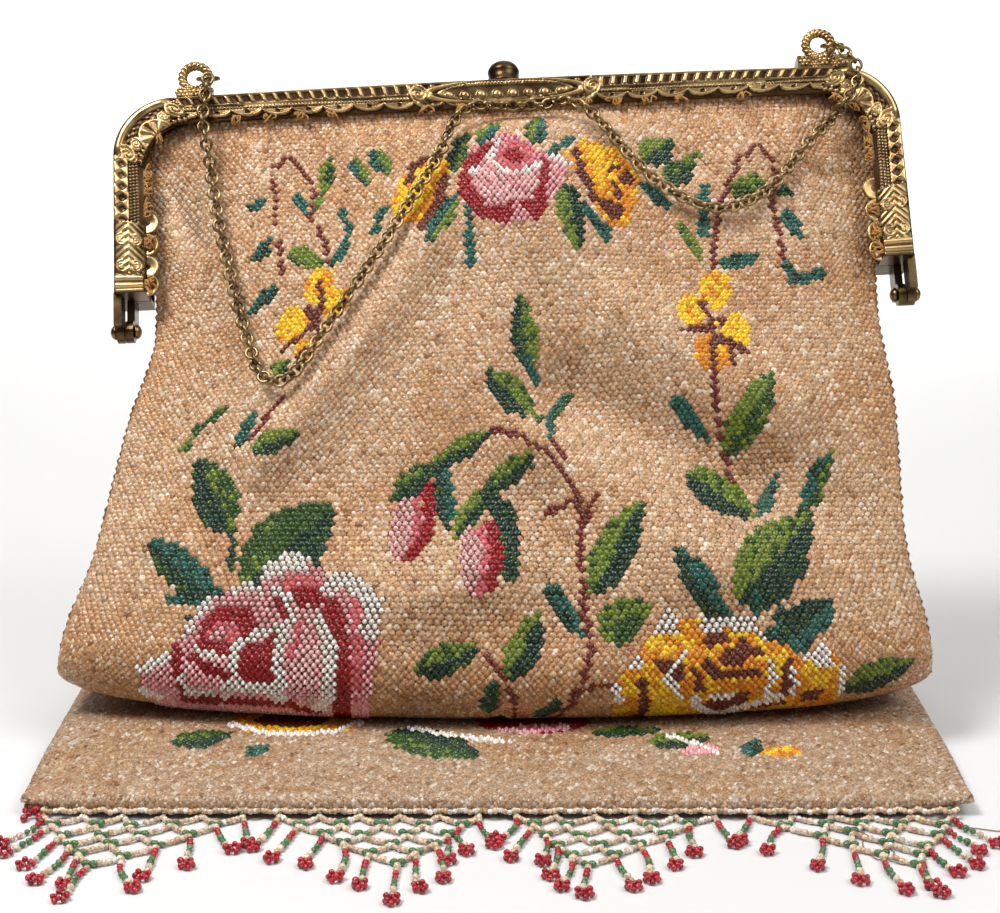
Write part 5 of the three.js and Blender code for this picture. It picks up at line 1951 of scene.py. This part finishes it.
class NetShape(Shape):
    """Beads and threads of the fringe, which lie on the floor."""

    def __init__(self, palette, radius, rng):
        super().__init__()
        self.palette = palette
        self.radius = radius
        self.rng = rng
        self.lie = radius + FLOOR_CLEAR

    def thread(self, line):
        self.add(*tube(line + ORIGIN_SHIFT, THREAD_RADIUS, THREAD_SIDES), self.palette["pale"])

    def bead(self, middle, axes, name, shade):
        colour = self.palette[name] * self.rng.normal(1, shade)
        self.add(*ball(middle, axes), np.clip(colour, 0, 1))

    def string(self, route, names, size=1.0):
        """Beads of the named colours side by side along a route. size: against the usual bead."""
        route = np.asarray(route, float)
        places = spaced(route, len(names) * 2 + 1)[1::2]
        ways = unit(np.gradient(places, axis=0)) if len(places) > 1 else np.array([[0, -1.0, 0]])
        gap = lengths_along(route)[-1] / len(names)
        for place, way, name in zip(places, ways, names):
            radius = size * self.radius * self.rng.normal(1, NET_SPREAD)
            side = unit(np.cross(way, (0, 0, 1)))
            up = np.cross(side, way)
            middle = place + ORIGIN_SHIFT + (0, 0, self.rng.normal(0, NET_BOUNCE))
            middle[2] = max(middle[2], radius + FLOOR_CLEAR)
            length = min(LENGTH_ON_STRING * gap, LENGTH_ON_BEAD * radius)
            self.bead(middle, np.array([up * radius, side * radius, way * length]), name, NET_SHADE)

    def swag(self, start, end, dip):
        """Points of a string that hangs between two places on the table."""
        t = np.linspace(0, 1, SWAG_POINTS)[:, None]
        line = np.asarray(start) * (1 - t) + np.asarray(end) * t
        line[:, 1] -= dip * (1 - np.abs(2 * t[:, 0] - 1) ** SWAG_POWER)
        line[:, 0] += self.rng.normal(0, SWAG_SWAY) * np.sin(math.pi * t[:, 0])
        return line

    def picots(self):
        """Small scallops of clear beads along the hem."""
        half = PICOT_SPAN * SECTIONS[0].half_width
        edges = np.linspace(-half, half, PICOTS + 1)
        for left, right in zip(edges, edges[1:]):
            line = self.swag((left, PICOT_Y, PICOT_Z), (right, PICOT_Y, PICOT_Z), PICOT_DIP)
            self.string(line, self.rng.choice(STRING_BEADS, PICOT_BEADS), SMALL_BEAD)

    def net(self, middle, skew):
        """One triangle of swags with green knots, and drops on its edges."""
        row = [(middle + (i - (NET_POINTS - 1) / 2) * NET_PITCH, NET_START_Y) for i in range(NET_POINTS)]
        for x, y in row:
            self.string([(x, y + 1.0, 2.2), (x, y - 1.4, self.lie)], KNOT)
        hang = [row[0], row[-1]]
        while len(row) > 1:
            row = [self.knot(left, right, skew) for left, right in zip(row, row[1:])]
            hang += [row[0], row[-1]] if len(row) > 1 else row
        for x, y in hang:
            self.drop(x, y - 0.8, DROP_SPLAY * (x - middle) + self.rng.normal(0, DROP_SWING))

    def knot(self, left, right, skew):
        """Two strings that meet in a green knot, whose place is handed out."""
        x = (left[0] + right[0]) / 2 + skew + self.rng.normal(0, KNOT_STRAY_ACROSS)
        y = (left[1] + right[1]) / 2 - NET_DROP + self.rng.normal(0, KNOT_STRAY_DOWN)
        for start_x, start_y in (left, right):
            line = self.swag((start_x, start_y - 1.2, self.lie), (x, y + 0.4, self.lie), SWAG_DIP)
            self.thread(line)
            self.string(line, self.rng.choice(STRING_BEADS, SWAG_BEADS), SMALL_BEAD)
        self.string([(x - KNOT_HALF, y, self.lie), (x + KNOT_HALF, y, self.lie)], KNOT)
        return x, y

    def drop(self, x, y, lean):
        """Red, green and clear beads on a thread that ends in a loop of red beads."""
        names = DROP_CORES[self.rng.integers(len(DROP_CORES))]
        length = len(names) * self.radius * DROP_BEAD_STEP
        end = (x + lean, y - length, self.lie)
        bend = (x + 0.4 * lean + self.rng.normal(0, 0.7), y - 0.5 * length, self.lie)
        route = smooth_route([(x, y, self.lie), bend, end], 14)
        self.thread(route)
        self.string(route, names, DROP_BEAD)
        heading = math.atan2(-length, lean) + self.rng.normal(0, 0.35)
        ahead = np.array([math.cos(heading), math.sin(heading), 0])
        aside = np.array([-ahead[1], ahead[0], 0])
        long_half = self.rng.uniform(*LOOP_LONG)
        wide_half = self.rng.uniform(*LOOP_WIDE)
        for k in range(DROP_LOOP):
            turn = 2 * math.pi * (k + 0.5) / DROP_LOOP
            place = np.array([end[0], end[1], 0]) + (long_half * (1 - math.cos(turn)) + 0.5) * ahead
            place = place + wide_half * math.sin(turn) * aside + ORIGIN_SHIFT
            size = self.radius * self.rng.normal(SMALL_BEAD, 0.06)
            place[2] = size + FLOOR_CLEAR + 0.8 * (k % 2) * self.radius
            self.bead(place, size * np.eye(3), "red", LOOP_SHADE)


def net_shape(palette, sizes, rng):
    """Netted fringe: scallops along the hem, a tuft at its corner and four triangles of swags."""
    shape = NetShape(palette, millimetres(sizes.net_bead) / 2, rng)
    shape.picots()
    for names, route in HEM_TUFT:
        shape.string(route, names)
    first = -(len(NET_SKEWS) - 1) / 2 * NET_STEP
    for number, skew in enumerate(NET_SKEWS):
        shape.net(first + number * NET_STEP + NET_SHIFT, skew)
    return shape


# Loose ends of thread on the table: two at the fringe's right and a short one at its left
STRAY_ROUTES = (
    ((71, -44), (75, -49), (78, -57), (74.5, -60), (72.5, -54), (74, -46)),
    ((92, -43), (97, -44.5), (102, -46), (106, -45)),
    ((-93, -39.4), (-90, -41), (-88, -40.4)),
)
STRAY_HEIGHT = 0.25
STRAY_RADIUS = 0.12


def stray_threads():
    shape = Shape()
    for route in STRAY_ROUTES:
        flat = smooth_route([(x, y, STRAY_HEIGHT) for x, y in route], 40)
        shape.add(*tube(flat + ORIGIN_SHIFT, STRAY_RADIUS, THREAD_SIDES))
    return shape


# Tones of the plain metal on the frame's two halves: the back half's darker tone is a painted shade
PLAIN_TONES_BACK_SHADED = {"frame_front": 0.36, "frame_back": 0.22}


class BagOperator:
    bl_options = {"REGISTER", "UNDO"}


class BEADBAG_OT_cloth(BagOperator, bpy.types.Operator):
    """Make the knitted pouch and its beads, with the flower pattern"""

    bl_idname = "beadbag.make_cloth"
    bl_label = "Bead cloth"

    def execute(self, context):
        sizes, colours = bag_settings()
        rng = np.random.default_rng(SEED)
        palette = bead_palette(colours)
        cloth = cloth_shape().make("bag_cloth", thread_material("gold_knit", colours.thread, 700, 0.6))
        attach(cloth, "bag")
        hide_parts("bag_body")
        glass = bead_material("cloth_beads", "bead_colour", 0.3, 0.1)
        pieces = []
        front = bead_field(1, HEM_ROWS_FROM, sizes)
        back = bead_field(-1, BACK_ROWS_FROM, sizes)
        for name, side, field, start, end in (
            ("beads_flap", 1, front, HEM_ROWS_FROM, NOSE_FROM),
            ("beads_front_lower", 1, front, NOSE_FROM, FRONT_SPLIT),
            ("beads_front_upper", 1, front, FRONT_SPLIT, CLOTH_LENGTH),
            ("beads_back_lower", -1, back, BACK_ROWS_FROM, SLOPE_AT),
            ("beads_back_upper", -1, back, SLOPE_AT, CLOTH_LENGTH),
        ):
            keep = (field.path >= start) & (field.path < end)
            part = BeadField(*(column[keep] for column in field))
            chart = bead_chart(part, rng)
            pieces.append(bead_mesh(name, part, side, chart, palette, sizes, rng, glass))
        for piece in pieces:
            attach(piece, "bag")
        return {"FINISHED"}


class BEADBAG_OT_frame(BagOperator, bpy.types.Operator):
    """Finish the gilt frame: stamped relief, sewn flange, chain loops, rivets and stitches"""

    bl_idname = "beadbag.make_frame"
    bl_label = "Gilt frame"

    def execute(self, context):
        sizes, colours = bag_settings()
        rng = np.random.default_rng(SEED + 10)
        stamped = gilt_material("gilt_stamped", colours.gilt, colours.tarnish, "relief")
        # The back half's darker tone is a painted shade
        for node, tone in PLAIN_TONES_BACK_SHADED.items():
            metal = [tone * part for part in colours.gilt]
            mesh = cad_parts[node].data
            mesh.materials.clear()
            mesh.materials.append(gilt_material(f"gilt_plain_{node}", metal, colours.tarnish))
        rivets = rivet_shape().make("hinge_rivet_heads", stamped, "relief")
        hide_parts("hinge_rivet_left", "hinge_rivet_right")
        pieces = [
            relief_shape(0.24, 32, 1).make("frame_relief_front", stamped, "relief"),
            relief_shape(0.42, 20, -1).make("frame_relief_back", stamped, "relief"),
            scallop_shape(1).make("frame_flange_front", stamped, "relief"),
            scallop_shape(-1).make("frame_flange_back", stamped, "relief"),
            loop_shape().make("chain_loop_ropes", stamped, "relief"),
            rivets,
        ]
        for piece in pieces:
            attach(piece, "bag")
        thread = thread_material("orange_thread", colours.stitch, 1500, 0.55)
        stitches = stitch_shape(sizes, rng).make("frame_stitches", thread)
        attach(stitches, "bag")
        return {"FINISHED"}


class BEADBAG_OT_clasp(BagOperator, bpy.types.Operator):
    """Make the domed push button"""

    bl_idname = "beadbag.make_clasp"
    bl_label = "Clasp button"

    def execute(self, context):
        _, colours = bag_settings()
        material = gilt_material("gilt_button", colours.gilt, colours.tarnish, "relief")
        button = clasp_shape().make("clasp_dome", material, "relief")
        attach(button, "clasp")
        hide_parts("clasp_button")
        return {"FINISHED"}


class BEADBAG_OT_chain(BagOperator, bpy.types.Operator):
    """Make the chain's links and the jump rings at its ends"""

    bl_idname = "beadbag.make_chain"
    bl_label = "Chain"

    def execute(self, context):
        sizes, colours = bag_settings()
        rng = np.random.default_rng(SEED + 20)
        metal = gilt_material("chain_metal", colours.chain, colours.tarnish)
        links = link_shape(sizes, rng).make("chain_links", metal)
        rings = jump_ring_shape().make("jump_rings", metal)
        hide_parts("chain")
        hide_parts("chain_ring_left", "chain_ring_right")
        for piece in (links, rings):
            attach(piece, "bag")
        return {"FINISHED"}


class BEADBAG_OT_fringe(BagOperator, bpy.types.Operator):
    """Make the netted bead fringe and its loose threads"""

    bl_idname = "beadbag.make_fringe"
    bl_label = "Fringe"

    def execute(self, context):
        sizes, colours = bag_settings()
        rng = np.random.default_rng(SEED + 30)
        palette = bead_palette(colours)
        glass = bead_material("net_beads", "bead_colour", 0.16, 0.5)
        net = net_shape(palette, sizes, rng).make("fringe_net", glass, "bead_colour")
        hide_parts("fringe")
        spun = thread_material("loose_thread", colours.thread, 1500, 0.6)
        threads = stray_threads().make("fringe_threads", spun)
        for piece in (net, threads):
            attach(piece, "bag")
        return {"FINISHED"}


# The floor turns up behind the bag into a white wall. Sizes of the stage are in metres.
FLOOR_FRONT = -3.0
FLOOR_HALF = 4.0
SWEEP_FROM = 0.9
SWEEP_RADIUS = 0.5
WALL_TOP = 3.0
KEY_LIGHT = (-0.3, -0.16, 0.66)
FILL_LIGHT = (0.5, -0.3, 0.7)
TOP_LIGHT = (0.1, 0.25, 1.0)
WALL_LIGHT = (0, 0.55, 1.5)
WALL_AIM = (0, 1.4, 0.35)
WALL_SPREAD = math.radians(75)
BAG_AIM = (0, 0.02, 0.07)


class BEADBAG_OT_stage(BagOperator, bpy.types.Operator):
    """Set the pale floor, the studio light and the camera"""

    bl_idname = "beadbag.make_stage"
    bl_label = "Stage"

    def execute(self, context):
        scene = context.scene
        stage = scene.bag_stage
        turns = np.linspace(0, math.pi / 2, 13)
        line = [(FLOOR_FRONT, 0.0)]
        for turn in turns:
            line.append((SWEEP_FROM + SWEEP_RADIUS * math.sin(turn), SWEEP_RADIUS * (1 - math.cos(turn))))
        line.append((SWEEP_FROM + SWEEP_RADIUS, WALL_TOP))
        points = [(x, y, z) for y, z in line for x in (-FLOOR_HALF, FLOOR_HALF)]
        mesh = bpy.data.meshes.new("floor")
        mesh.from_pydata(points, [], grid_faces(len(line), 2))
        floor = finish_piece("floor", mesh, floor_material(stage.floor))
        world = bpy.data.worlds.new("white_studio")
        world.use_nodes = True
        sky = world.node_tree.nodes["Background"]
        sky.inputs["Color"].default_value = (1, 1, 1, 1)
        sky.inputs["Strength"].default_value = stage.surround
        scene.world = world
        self.add_light("key_light", KEY_LIGHT, BAG_AIM, 0.25, stage.key_power)
        self.add_light("fill_light", FILL_LIGHT, BAG_AIM, 0.5, stage.fill_power)
        self.add_light("top_light", TOP_LIGHT, BAG_AIM, 0.8, stage.top_power)
        wall = self.add_light("wall_light", WALL_LIGHT, WALL_AIM, 1.4, stage.wall_power)
        wall.spread = WALL_SPREAD
        camera = bpy.data.cameras.new("photo_camera")
        camera.lens = CAMERA_LENS
        camera.sensor_fit = "HORIZONTAL"
        camera.sensor_width = CAMERA_SENSOR
        camera.clip_start = CAMERA_NEAR
        placed = bpy.data.objects.new("photo_camera", camera)
        placed.location = CAMERA_PLACE
        placed.rotation_euler = (math.pi / 2 - CAMERA_PITCH, 0, 0)
        scene.collection.objects.link(placed)
        scene.camera = placed
        scene.view_settings.view_transform = "Standard"
        return {"FINISHED"}

    def add_light(self, name, place, target, size, power):
        light = bpy.data.lights.new(name, "AREA")
        light.size = size
        light.energy = power
        lamp = bpy.data.objects.new(name, light)
        lamp.location = place
        aim = Vector(target) - Vector(place)
        lamp.rotation_euler = aim.to_track_quat("-Z", "Y").to_euler()
        bpy.context.scene.collection.objects.link(lamp)
        return light


OPERATORS = (
    BEADBAG_OT_stage,
    BEADBAG_OT_cloth,
    BEADBAG_OT_frame,
    BEADBAG_OT_clasp,
    BEADBAG_OT_chain,
    BEADBAG_OT_fringe,
)


class BEADBAG_PT_panel(bpy.types.Panel):
    """Lists the steps that make the bag"""

    bl_idname = "BEADBAG_PT_panel"
    bl_label = "Beaded frame bag"
    bl_space_type = "VIEW_3D"
    bl_region_type = "UI"
    bl_category = "Bag"

    def draw(self, context):
        for group in (context.scene.bag_sizes, context.scene.bag_colours, context.scene.bag_stage):
            for name in group.__annotations__:
                self.layout.prop(group, name)
        for operator in OPERATORS:
            self.layout.operator(operator.bl_idname)


GROUPS = {"bag_sizes": BagSizes, "bag_colours": BagColours, "bag_stage": BagStage}


def register():
    for made in (*GROUPS.values(), *OPERATORS, BEADBAG_PT_panel):
        bpy.utils.register_class(made)
    for name, group in GROUPS.items():
        setattr(bpy.types.Scene, name, bpy.props.PointerProperty(type=group))


def unregister():
    for name in GROUPS:
        delattr(bpy.types.Scene, name)
    for made in (BEADBAG_PT_panel, *reversed(OPERATORS), *GROUPS.values()):
        bpy.utils.unregister_class(made)


def main():
    register()
    bpy.ops.beadbag.make_stage()
    bpy.ops.beadbag.make_cloth()
    bpy.ops.beadbag.make_frame()
    bpy.ops.beadbag.make_clasp()
    bpy.ops.beadbag.make_chain()
    bpy.ops.beadbag.make_fringe()


if __name__ == "__main__":
    main()
